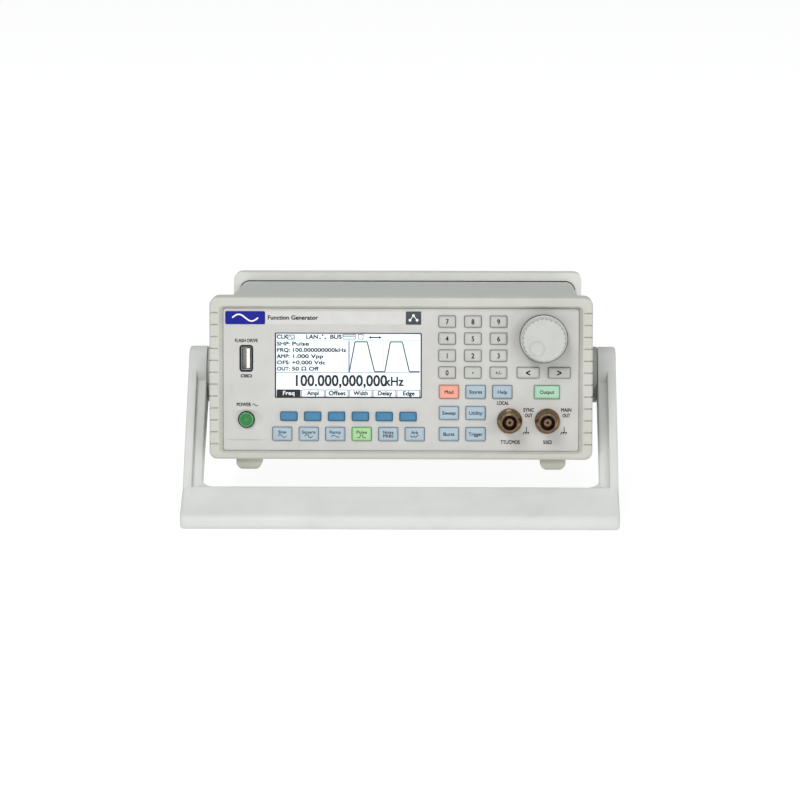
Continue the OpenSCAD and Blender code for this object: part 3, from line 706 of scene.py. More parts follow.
@dataclass
class Bezel:
    """A moulded end frame of the case, with grooves round both sides.

    Attributes:
        bench: Where the piece is made.
        node: The CAD node that it stands for.
        panel: The CAD node of the panel that it frames.
        front: True for the front bezel.
        corner: Radius of its outer corners.
        fillet: Rounding of its outer front edge.
        slope: Width of the sloping wall round the panel.
        wall_depth: Depth at which that wall turns straight.
        pitch: Distance between grooves.
        grooves: Number of grooves on each side.
        groove_w: Width of a groove.
        groove_depth: Depth of a groove.
        groove_reach: How far a groove runs in across the face.
    """

    bench: Bench
    node: str
    panel: str
    front: bool
    corner: float = 4.5
    fillet: float = 1.5
    slope: float = 2.2
    wall_depth: float = 2.6
    pitch: float = 6.7
    grooves: int = 12
    groove_w: float = 0.8
    groove_depth: float = 0.9
    groove_reach: float = 4.8

    def _depth(self, inwards: float) -> float:
        """Returns the Y of a point that lies inwards from the bezel's own face."""
        lowest, highest = self.bench.box(self.node)
        return lowest.y + inwards if self.front else highest.y - inwards

    def _frame(self) -> bmesh.types.BMesh:
        """Lofts the frame from its outer back edge over the face to its inner wall."""
        lowest, highest = self.bench.box(self.node)
        size = highest - lowest
        panel_low, panel_high = self.bench.box(self.panel)
        gap = 0.15
        middle = (0.0, (panel_low.z + panel_high.z) / 2)
        panel_w = panel_high.x - panel_low.x + 2 * gap
        panel_h = panel_high.z - panel_low.z + 2 * gap
        seat = 6.0 if self.front else 18.0

        def outer(inset: float) -> list[Point]:
            """Returns the outer outline drawn in by inset."""
            return rounded(size.x - 2 * inset, size.z - 2 * inset, self.corner - inset)

        def inner(spread: float) -> list[Point]:
            """Returns the opening's outline let out by spread."""
            return rounded(panel_w + 2 * spread, panel_h + 1.2 * spread, 1.2 + spread,
                           centre=middle)

        rings = [across_y(outer(0), self._depth(inwards)) for inwards in (size.y, self.fillet)]
        for angle in (22, 45, 68, 90):
            turn = math.radians(angle)
            rings.append(across_y(outer(self.fillet * (1 - math.cos(turn))),
                                  self._depth(self.fillet * (1 - math.sin(turn)))))
        for spread, inwards in ((self.slope, 0), (self.slope - 0.15, 0.06),
                                (self.slope - 0.3, 0.22), (0.12, self.wall_depth - 0.2),
                                (0, self.wall_depth), (0, seat)):
            rings.append(across_y(inner(spread), self._depth(inwards)))
        back = rounded(panel_w - 4, panel_h - 4, 1, centre=middle)
        rings += [across_y(back, self._depth(seat)), across_y(back, self._depth(size.y))]
        return loft(rings, closed=True)

    def _groove_cutter(self) -> bmesh.types.BMesh:
        """Makes the L-shaped bars that cut the grooves into the face and round the sides."""
        lowest, highest = self.bench.box(self.node)
        half, end = highest.x, highest.y - lowest.y - 3
        outline = [(half - self.groove_reach, -1), (half + 1, -1), (half + 1, end),
                   (half - self.groove_depth, end), (half - self.groove_depth, 0.8),
                   (half - self.groove_reach, 0.8)]
        bars = []
        for side in (-1, 1):
            for i in range(self.grooves):
                z = (i - (self.grooves - 1) / 2) * self.pitch
                rings = [[Vector((side * x, self._depth(d), z + step * self.groove_w / 2))
                          for x, d in outline] for step in (-1, 1)]
                bars.append(loft(rings))
        return joined(bars)

    def build(self) -> None:
        """Makes the bezel."""
        body = combined(self._frame(), self._groove_cutter(), "DIFFERENCE")
        # The rear bezel's paler finish is painted light, not a paler plastic.
        finish = Finishes.case_abs if self.front else Finishes.rear_abs
        self.bench.piece(f"{self.node}_moulding", body, finish, "case", self.node)


@dataclass
class TopCover:
    """The painted steel cover and the dark seal between it and the rear bezel.

    Attributes:
        bench: Where the pieces are made.
        lean: How far each side leans in from its foot to the top.
        corner: Radius of the top's edges.
        sheet: Thickness of the sheet.
        seal_proud: How far the seal stands out of the cover.
        seal_w: The seal's length along the cover.
    """

    bench: Bench
    lean: float = 3.4
    corner: float = 5.5
    sheet: float = 1.2
    seal_proud: float = 0.55
    seal_w: float = 1.2

    def _path(self, grow: float) -> list[Point]:
        """Returns the cover's arched outline, let out by grow."""
        low, high = self.bench.box("top_cover")
        x, z = high.x - self.lean - self.corner, high.z - self.corner
        return ([(low.x - grow, low.z)] + arc((-x, z), self.corner + grow, 180, 90, 10)
                + arc((x, z), self.corner + grow, 90, 0, 10) + [(high.x + grow, low.z)])

    def _shell(self, outside: float, inside: float, y0: float, y1: float) -> bmesh.types.BMesh:
        """Lofts the arch between two outlines from y0 back to y1."""
        arch = self._path(outside) + self._path(inside)[::-1]
        return loft([across_y(arch, y0), across_y(arch, y1)])

    def build(self) -> None:
        """Makes the cover and the seal."""
        low, high = self.bench.box("top_cover")
        self.bench.piece("top_cover_shell", self._shell(0.0, -self.sheet, low.y, high.y),
                         Finishes.powder_paint, "case", "top_cover")
        rear = self.bench.box("rear_bezel")[0].y
        seal = self._shell(self.seal_proud, -0.3, rear - self.seal_w, rear + 0.2)
        self.bench.piece("cover_seal", seal, Finishes.black_nylon, "case")


def lens(centre: Point, reach: Point, face: float, depth: float,
         steps: int = 64) -> bmesh.types.BMesh:
    """Makes the cutter of a shallow dish.

    Args:
        centre: The dish's middle in X and Z.
        reach: Its half width and half height.
        face: Depth of the face that it is cut into.
        depth: How deep it goes.
        steps: Points round its rim.
    """
    rings = []
    for share, y in ((1.0, face - 1), (1.0, face - 0.02), (0.96, face + 0.1 * depth),
                     (0.86, face + 0.42 * depth), (0.68, face + 0.75 * depth),
                     (0.4, face + 0.94 * depth), (0.15, face + depth)):
        oval = [(centre[0] + share * reach[0] * x, centre[1] + share * reach[1] * z)
                for x, z in circle(1, steps)]
        rings.append(across_y(oval, y))
    return loft(rings)


def middle_of(box: tuple[Vector, Vector]) -> Point:
    """Returns X and Z of a box's middle."""
    low, high = box
    return ((low.x + high.x) / 2, (low.z + high.z) / 2)


def window_in(low: Vector, high: Vector, grow: float, corner: float) -> list[Point]:
    """Returns the round-cornered outline of a box's front, let out by grow."""
    size = high - low
    return rounded(size.x + 2 * grow, size.z + 2 * grow, corner, 5, middle_of((low, high)))


def strokes(paths: Iterable[Sequence[Point]], width: float, y: float,
            thick: float = 0.04) -> list[bmesh.types.BMesh]:
    """Draws paths as thin raised strokes.

    Args:
        paths: The paths in X and Z.
        width: Width of the strokes.
        y: Depth of the face that they lie on.
        thick: How far they stand proud of it.
    """
    pieces = []
    for path in paths:
        for start, end in zip(path, path[1:]):
            pieces.append(loft([across_y(ribbon((start, end), width), y - thick),
                                across_y(ribbon((start, end), width), y)]))
    return pieces


def wave(kind: str, centre: Point, width: float, height: float) -> list[Point]:
    """Returns the path of a waveform's symbol.

    Args:
        kind: sine, square, ramp, pulse or arb.
        centre: Middle of the symbol.
        width: Its width.
        height: Its height.
    """
    shapes: dict[str, list[Point]] = {
        "sine": [(i / 20 - 0.5, 0.5 * math.sin(2 * math.pi * i / 20)) for i in range(21)],
        "square": [(-0.5, 0), (-0.42, 0), (-0.3, 0.5), (-0.06, 0.5), (0.06, -0.5), (0.32, -0.5),
                   (0.42, 0), (0.5, 0)],
        "ramp": [(-0.5, -0.3), (-0.22, 0.45), (0.1, 0.0), (0.3, -0.4), (0.5, -0.1)],
        "pulse": [(-0.5, -0.5), (-0.22, -0.5), (-0.16, 0.5), (0.1, 0.5), (0.16, -0.5),
                  (0.5, -0.5)],
        "arb": [(-0.5, 0.4), (-0.3, -0.4), (-0.1, 0.2), (0.12, -0.45), (0.3, 0.3), (0.5, 0.45)],
    }
    return [(centre[0] + x * width, centre[1] + z * height) for x, z in shapes[kind]]


@dataclass
class FrontPanel:
    """The moulded control panel with its openings, dishes and print.

    Attributes:
        bench: Where the pieces are made.
        keys: Names of the key nodes.
        key_rim: How far a key's flange reaches past its cap.
        key_gap: Gap round a key.
        display_bevel: Width of the slope round the display.
        display_step: Depth of that slope.
        knob_dish: Radius of the hollow round the control knob.
        power_dish: Half width and half height of the hollow round the power button.
        strip: Left, right, bottom and top of the label strip.
        badge_w: Width of the coloured badge at its left end.
        tile_w: Width of the dark tile at its right end.
        cap: Height of the print's capitals.
    """

    bench: Bench
    keys: Sequence[str]
    key_rim: float = 1.0
    key_gap: float = 0.3
    display_bevel: float = 3.2
    display_step: float = 1.0
    knob_dish: float = 18.0
    power_dish: Point = (9.2, 5.8)
    strip: tuple[float, float, float, float] = (-98.6, 11.3, 30.2, 37.6)
    badge_w: float = 22.4
    tile_w: float = 8.6
    cap: float = 2.05

    def _openings(self, face: float, back: float) -> list[bmesh.types.BMesh]:
        """Makes the cutters of every opening through the panel."""
        box = self.bench.box
        depth = (face - 1, back + 1)
        cutters = []
        for key in self.keys:
            low, high = box(key)
            cutters.append(slab(window_in(low, high, self.key_gap - self.key_rim, 0.9), *depth))
        for node, radius in (("power_button", 4.4), ("encoder_body", 4.7)):
            cutters.append(slab(circle(radius, 48, middle_of(box(node))), *depth))
        for side in self.coax_centres():
            cutters.append(slab(circle(6.1, 48, side), *depth))
        low, high = box("usb_host_socket")
        cutters.append(slab(window_in(low, high, 1.05, 1.8), *depth))
        return cutters

    def coax_centres(self) -> list[Point]:
        """Returns the axes of the two coaxial sockets."""
        low, high = self.bench.box("bnc_sockets_front")
        middle, reach = (low.z + high.z) / 2, (high.z - low.z) / 2
        return [(low.x + reach, middle), (high.x - reach, middle)]

    def build(self) -> None:
        """Makes the panel and its print."""
        low, high = self.bench.box("front_panel")
        face, back = low.y, low.y + 3.0
        board = slab(window_in(low, high, -0.1, 1.2), face, back)
        knob = middle_of(self.bench.box("control_knob"))
        power = middle_of(self.bench.box("power_button"))
        glass_low, glass_high = self.bench.box("display_window")
        dishes = [
            lens(knob, (self.knob_dish, self.knob_dish), face, 0.9),
            lens(power, self.power_dish, face, 1.0),
            lens((power[0], low.z + 5.9), (11.6, 0.45), face, 0.5),
            loft([across_y(window_in(glass_low, glass_high, spread, 0.8 + spread / 2), y)
                  for spread, y in ((self.display_bevel, face - 1), (self.display_bevel, face),
                                    (0.0, face + self.display_step), (0.0, face + 1.4))]),
            slab(window_in(glass_low, glass_high, -0.02, 0.2), face + 1.2, back + 1),
        ]
        for dish in (joined(dishes[:4]), dishes[4], joined(self._openings(face, back))):
            board = combined(board, dish, "DIFFERENCE")
        self.bench.piece("front_panel_moulding", board, Finishes.panel_abs, "case", "front_panel",
                         crease=24)
        self._print(face, power)
        self._label_strip(face)

    def _print(self, face: float, power: Point) -> None:
        """Prints the words and symbols straight onto the panel."""
        sync, main = self.coax_centres()
        usb_low, usb_high = self.bench.box("usb_host_socket")
        usb_x = (usb_low.x + usb_high.x) / 2
        lines = [
            Lettering("FLASH DRIVE", usb_x, usb_high.z + 3.4, 1.85, width=12.7),
            Lettering("POWER", power[0] - 1.5, power[1] + 8.3, self.cap, width=7.9),
            Lettering("LOCAL", sync[0] - 3.8, sync[1] + 9.9, self.cap, width=6.5),
            Lettering("SYNC", sync[0] + 10.7, sync[1] + 6.1, self.cap, width=5.9),
            Lettering("OUT", sync[0] + 10.7, sync[1] + 3.0, self.cap, width=4.2),
            Lettering("MAIN", main[0] + 10.6, main[1] + 6.1, self.cap, width=5.7),
            Lettering("OUT", main[0] + 10.6, main[1] + 3.0, self.cap, width=4.2),
            Lettering("TTL/CMOS", sync[0] + 0.4, sync[1] - 12.1, self.cap, width=10.7),
            Lettering("50Ω", main[0] + 0.1, main[1] - 12.1, self.cap, width=4.7),
        ]
        marks = strokes([wave("sine", (power[0] + 4.9, power[1] + 8.2), 3.1, 1.3)], 0.4, face)
        for x, z in ((sync[0] + 9.5, sync[1] - 5.4), (main[0] + 9.5, main[1] - 5.4)):
            earth = [[(x, z + 2.1), (x, z - 1.0)], [(x - 1.6, z - 1.0), (x + 1.6, z - 1.0)]]
            earth += [[(x + d, z - 1.0), (x + d - 0.7, z - 2.2)] for d in (-1.4, 0.0, 1.4)]
            marks += strokes(earth, 0.42, face)
        memory = [[(usb_x - 2.9, usb_low.z - 3.9), (usb_x + 2.9, usb_low.z - 3.9),
                   (usb_x + 2.9, usb_low.z - 2.7), (usb_x - 2.9, usb_low.z - 2.7),
                   (usb_x - 2.9, usb_low.z - 3.9)],
                  [(usb_x - 1.2, usb_low.z - 3.3), (usb_x + 1.2, usb_low.z - 3.3)]]
        marks += strokes(memory, 0.45, face)
        self.bench.print_on("panel_print", lines, face, Finishes.black_ink, "case", marks)

    def _label_strip(self, face: float) -> None:
        """Lays the label strip with its badge, title and tile along the panel's top."""
        x0, x1, z0, z1 = self.strip
        middle, height = (z0 + z1) / 2, z1 - z0
        film = slab(rounded(x1 - x0, height, 0.9, centre=((x0 + x1) / 2, middle)), face - 0.12,
                    face)
        self.bench.piece("label_strip", film, Finishes.label_film, "case")
        badge = slab(rounded(self.badge_w, height, 0.9, centre=(x0 + self.badge_w / 2, middle)),
                     face - 0.24, face - 0.1)
        self.bench.piece("maker_badge", badge, Finishes.blue_badge, "case")
        tile = slab(rounded(self.tile_w, height, 0.5, centre=(x1 - self.tile_w / 2, middle)),
                    face - 0.24, face - 0.1)
        self.bench.piece("interface_badge", tile, Finishes.slate_badge, "case")
        sine = wave("sine", (x0 + self.badge_w / 2, middle), 14.5, 3.8)
        glyphs = strokes([sine], 0.8, face - 0.24)
        nodes = [(x1 - self.tile_w / 2 + dx, middle + dz)
                 for dx, dz in ((-2, -1.2), (2, -1.2), (0, 1.4))]
        glyphs += [slab(circle(0.75, 16, n), face - 0.29, face - 0.24) for n in nodes]
        glyphs += strokes([[nodes[0], nodes[2]], [nodes[1], nodes[2]]], 0.36, face - 0.24)
        self.bench.print_on("badge_glyphs", [], face, Finishes.white_ink, "case", glyphs)
        title = Lettering("Function Generator", x0 + self.badge_w + 1.3, middle,
                          2.4, left=True, width=28.0)
        self.bench.print_on("title_print", [title], face - 0.14, Finishes.black_ink, "case")


@dataclass
class Key:
    """One silicone key with a bevelled cap and its legend.

    Attributes:
        bench: Where the pieces are made.
        node: The CAD node that it stands for.
        finish: Its colour.
        words: Lines of its legend, from top to bottom.
        cap: Height of the legend's capitals.
        symbol: Waveform drawn under the legend, if any.
        legend_w: Width of a legend of three letters or more; 0 keeps the font's own.
        weight: Half of the extra weight of the legend's strokes.
        rim: How far the flange reaches past the cap.
        bevel: Width of the cap's bevel.
        flange_t: Thickness of the flange.
    """

    bench: Bench
    node: str
    finish: Finish
    words: Sequence[str] = ()
    cap: float = 1.9
    symbol: str | None = None
    legend_w: float = 0.0
    weight: float = 0.024
    rim: float = 1.0
    bevel: float = 0.85
    flange_t: float = 0.8

    def build(self) -> None:
        """Makes the cap and its legend."""
        low, high = self.bench.box(self.node)
        flange = high.y - self.flange_t
        rings = []
        for grow, y, corner in ((-self.bevel - 0.25, low.y, 0.5),
                                (-self.bevel, low.y + 0.05, 0.55),
                                (-0.12, low.y + 0.72, 0.75), (0.0, low.y + 0.95, 0.8),
                                (0.0, flange, 0.8)):
            rings.append(across_y(window_in(low, high, grow - self.rim, corner), y))
        for y in (flange + 0.02, high.y):
            rings.append(across_y(window_in(low, high, -0.02, 1.2), y))
        self.bench.piece(f"{self.node}_cap", loft(rings), self.finish, self.node, self.node)
        if self.words or self.symbol:
            self._legend(low, high)

    def _legend(self, low: Vector, high: Vector) -> None:
        """Prints the legend on the cap."""
        x, z = middle_of((low, high))
        rows = len(self.words) + (1 if self.symbol else 0)
        pitch = self.cap * 1.22
        start = z + pitch * (rows - 1) / 2
        lines = [Lettering(word, x, start - i * pitch, self.cap, bold=self.weight,
                           width=self.legend_w if len(word) > 2 else 0.0, boxed=len(word) < 4)
                 for i, word in enumerate(self.words)]
        marks = []
        if self.symbol:
            path = wave(self.symbol, (x, start - len(self.words) * pitch - 0.1), 4.8, 1.5)
            marks = strokes([path], 0.36, low.y)
        self.bench.print_on(f"{self.node}_legend", lines, low.y, Finishes.key_ink, self.node,
                            marks)


@dataclass
class ControlKnob:
    """The spun knob, with a scalloped rim and a finger dimple.

    Attributes:
        bench: Where the pieces are made.
        scallops: Number of hollows round its rim.
        scallop_depth: Depth of those hollows.
        rim: Width of the sloping front edge.
        dimple_at: Place of the dimple from the middle, across and up.
        dimple_r: Radius of the dimple.
        dimple_depth: Depth of the dimple.
        collar: How far the black ring behind the knob, a painted shadow round its rim, reaches
            past its rim.
    """

    bench: Bench
    scallops: int = 28
    scallop_depth: float = 0.75
    rim: float = 1.1
    dimple_at: Point = (-3.9, -4.7)
    dimple_r: float = 4.7
    dimple_depth: float = 1.5
    collar: float = 0.35

    def build(self) -> None:
        """Makes the knob."""
        low, high = self.bench.box("control_knob")
        radius = (high.x - low.x) / 2
        centre = middle_of((low, high))
        front, back = low.y, high.y

        def ripple(angle: float, ring: float) -> float:
            """Returns how far the rim is cut in at this angle."""
            strength = max(0.0, 1.0 - abs(ring - radius + self.rim) / 0.9)
            return -self.scallop_depth * strength * (0.5 - 0.5 * math.cos(self.scallops * angle))

        profile = [(0.0, front + 0.28), (radius * 0.55, front + 0.12), (radius - 2.1, front),
                   (radius - 1.75, front + 0.05), (radius - 1.35, front + 0.3),
                   (radius - self.rim, front + 0.8), (radius - 0.9, back - 3.4),
                   (radius - 0.75, back - 2.9), (radius - 0.3, back - 2.6), (radius, back - 2.2),
                   (radius, back - 0.5), (radius - 0.2, back - 0.1), (radius - 0.6, back),
                   (6.2, back), (6.2, back - 1.0), (0.0, back - 1.0)]
        body = lathe(profile, centre, 336, ripple)
        hollow = lens((centre[0] + self.dimple_at[0], centre[1] + self.dimple_at[1]),
                      (self.dimple_r, self.dimple_r), front + 0.1, self.dimple_depth)
        self.bench.piece("control_knob_moulding", combined(body, hollow, "DIFFERENCE"),
                         Finishes.knob_abs, "knob", "control_knob", crease=38)
        # A black ring just behind the rim: painted shadow for the dark gap round the knob.
        rim = radius + self.collar
        skirt = [(radius - 1.0, back - 1.6), (rim - 0.1, back - 1.6), (rim, back - 1.4),
                 (rim, back - 0.3), (radius - 1.0, back - 0.3)]
        self.bench.piece("control_knob_painted_shadow_ring", lathe(skirt, centre, 96, closed=True),
                         Finishes.black_nylon, "knob")


@dataclass
class PowerButton:
    """The green push button with rings moulded into its face.

    Attributes:
        bench: Where the pieces are made.
        groove: Radius of the ring on its face.
        flange_t: Thickness of its flange.
        sleeve: Inner and outer radius of the black ring round it.
    """

    bench: Bench
    groove: float = 2.1
    flange_t: float = 0.8
    sleeve: Point = (4.15, 4.75)

    def build(self) -> None:
        """Makes the button and the black ring in the panel's hole."""
        low, high = self.bench.box("power_button")
        centre = middle_of((low, high))
        radius, front = (high.x - low.x) / 2 - 1.0, low.y
        profile = [(0.0, front + 0.55), (0.75, front + 0.55), (0.95, front + 0.15),
                   (1.35, front + 0.15), (1.55, front + 0.95), (1.95, front + 0.95),
                   (self.groove, front + 0.35), (2.5, front + 0.35), (2.65, front + 0.9),
                   (3.0, front + 0.9), (3.15, front), (radius - 0.5, front),
                   (radius - 0.15, front + 0.15), (radius, front + 0.5),
                   (radius, high.y - self.flange_t), (radius + 0.9, high.y - self.flange_t),
                   (radius + 0.9, high.y), (0.0, high.y)]
        self.bench.piece("power_button_moulding", lathe(profile, centre, 72), Finishes.lamp_green,
                         "power_button", "power_button")
        inner, outer = self.sleeve
        face = self.bench.box("front_panel")[0].y
        ring = [(inner, face + 0.35), (inner + 0.15, face + 0.1), (outer - 0.15, face + 0.1),
                (outer, face + 0.4), (outer, face + 2.6), (inner, face + 2.6)]
        self.bench.piece("power_button_ring", lathe(ring, centre, 72, closed=True),
                         Finishes.black_nylon, "case")


@dataclass
class CoaxSocket:
    """One bayonet coaxial socket, seen from the panel that it stands on.

    Attributes:
        bench: Where the pieces are made.
        name: The name that its pieces start with.
        centre: Its axis in X and Z.
        face: Depth of the panel that it stands on.
        tip: Depth of its mouth.
        barrel: Outer radius of its barrel.
        bore: Radius inside the barrel.
        nut: Radius of the nut on the panel.
        metal: The barrel's finish.
        inside: The finish of the bore's lining.
    """

    bench: Bench
    name: str
    centre: Point
    face: float
    tip: float
    barrel: float = 4.8
    bore: float = 4.05
    nut: float = 7.1
    metal: Finish = Finishes.warm_nickel
    inside: Finish = Finishes.dark_brass

    def build(self, node: str | None) -> None:
        """Makes the socket's pieces.

        Args:
            node: The CAD node that this one's shell stands for, if it is the first of its node.
        """
        out = -1.0 if self.tip < self.face else 1.0
        reach = abs(self.tip - self.face)

        def at(distance: float) -> float:
            """Returns the depth of a point that far in front of the panel."""
            return self.face + out * distance

        shell = [(self.bore, at(3.2)), (self.bore, at(reach - 0.45)),
                 (self.bore + 0.25, at(reach)), (self.barrel - 0.3, at(reach)),
                 (self.barrel, at(reach - 0.35)), (self.barrel, at(reach - 3.6)),
                 (self.barrel + 0.08, at(reach - 3.9)), (self.barrel + 0.08, at(3.6)),
                 (self.barrel + 0.6, at(3.2)), (self.nut - 1.7, at(2.9)),
                 (self.nut - 1.2, at(2.5)), (self.nut - 0.35, at(1.7)),
                 (self.nut, at(1.2)), (self.nut, at(0.35)),
                 (self.nut - 0.3, at(0.02)), (self.bore, at(0.02))]
        body = self.bench.piece(f"{self.name}_shell", lathe(shell, self.centre, 72, closed=True),
                                self.metal, "case", node)
        lugs = []
        for side in (-1, 1):
            rings = []
            for share, spread in ((0.85, 5.45), (1.0, 5.3), (1.0, 4.5)):
                rings.append([Vector((self.centre[0] + side * spread,
                                      at(reach - 5.2) + share * y, self.centre[1] + share * z))
                              for y, z in circle(0.9, 20)])
            lugs.append(loft(rings))
        self.bench.piece(f"{self.name}_lugs", joined(lugs), self.metal, "case")
        liner = [(0.95, at(3.1)), (0.95, at(reach - 3.1)), (1.9, at(reach - 3.1)),
                 (2.3, at(reach - 3.4)), (2.35, at(5.0)), (self.bore - 0.02, at(4.6)),
                 (self.bore - 0.02, at(3.1))]
        # The insulator's dark brown is painted shade in the bore.
        self.bench.piece(f"{self.name}_insulator", lathe(liner, self.centre, 48, closed=True),
                         Finishes.ptfe, "case")
        sleeve = [(self.bore - 0.25, at(4.7)), (self.bore - 0.25, at(reach - 1.4)),
                  (self.bore - 0.04, at(reach - 1.2)), (self.bore - 0.04, at(4.7))]
        self.bench.piece(f"{self.name}_contact_ring", lathe(sleeve, self.centre, 48, closed=True),
                         self.inside, "case")
        pin = [(0.42, at(4.0)), (0.42, at(reach - 2.9)), (0.6, at(reach - 2.6)),
               (0.9, at(reach - 2.8)), (0.9, at(4.0))]
        self.bench.piece(f"{self.name}_contact", lathe(pin, self.centre, 32, closed=True),
                         Finishes.gold_contact, "case")
        LOG.info("%s stands at %.1f, %.1f", body.name, *self.centre)


@dataclass
class MemorySocket:
    """The upright flash drive socket: black surround, steel shell, tongue and contacts.

    Attributes:
        bench: Where the pieces are made.
        wall: Thickness of the shell.
        surround: How far the black surround reaches past the shell.
        contacts: Number of contacts on the tongue.
    """

    bench: Bench
    wall: float = 0.35
    surround: float = 1.05
    contacts: int = 4

    def build(self) -> None:
        """Makes the socket's pieces."""
        low, high = self.bench.box("usb_host_socket")
        face = low.y
        frame_rings = [across_y(window_in(low, high, self.surround - 0.02, 1.75), face + 0.12),
                       across_y(window_in(low, high, 0.05, 0.6), face + 0.12),
                       across_y(window_in(low, high, 0.05, 0.6), face + 2.6),
                       across_y(window_in(low, high, self.surround - 0.02, 1.75), face + 2.6)]
        self.bench.piece("memory_socket_surround", loft(frame_rings, closed=True),
                         Finishes.black_nylon, "case")
        shell = [across_y(window_in(low, high, grow, corner), y) for grow, corner, y in (
            (0.0, 0.5, high.y), (0.0, 0.5, face + 0.1), (-0.1, 0.45, face),
            (-self.wall, 0.3, face + 0.25), (-self.wall, 0.3, high.y - 0.9))]
        self.bench.piece("memory_socket_shell", loft(shell), Finishes.plated_steel, "case",
                         "usb_host_socket")
        tongue_x, middle = (low.x + high.x) / 2 + 0.05, (low.z + high.z) / 2
        tongue = slab(rounded(1.9, 11.2, 0.2, centre=(tongue_x + 1.0, middle)), face + 0.9,
                      high.y - 1, 0.2)
        self.bench.piece("memory_socket_tongue", tongue, Finishes.white_ink, "case")
        strips = []
        for i in range(self.contacts):
            z = middle + (i - (self.contacts - 1) / 2) * 2.3
            strips.append(slab(rounded(0.5, 1.1, 0.05, centre=(tongue_x - 0.12, z)), face + 0.8,
                               high.y - 2))
        self.bench.piece("memory_socket_contacts", joined(strips), Finishes.gold_contact, "case")


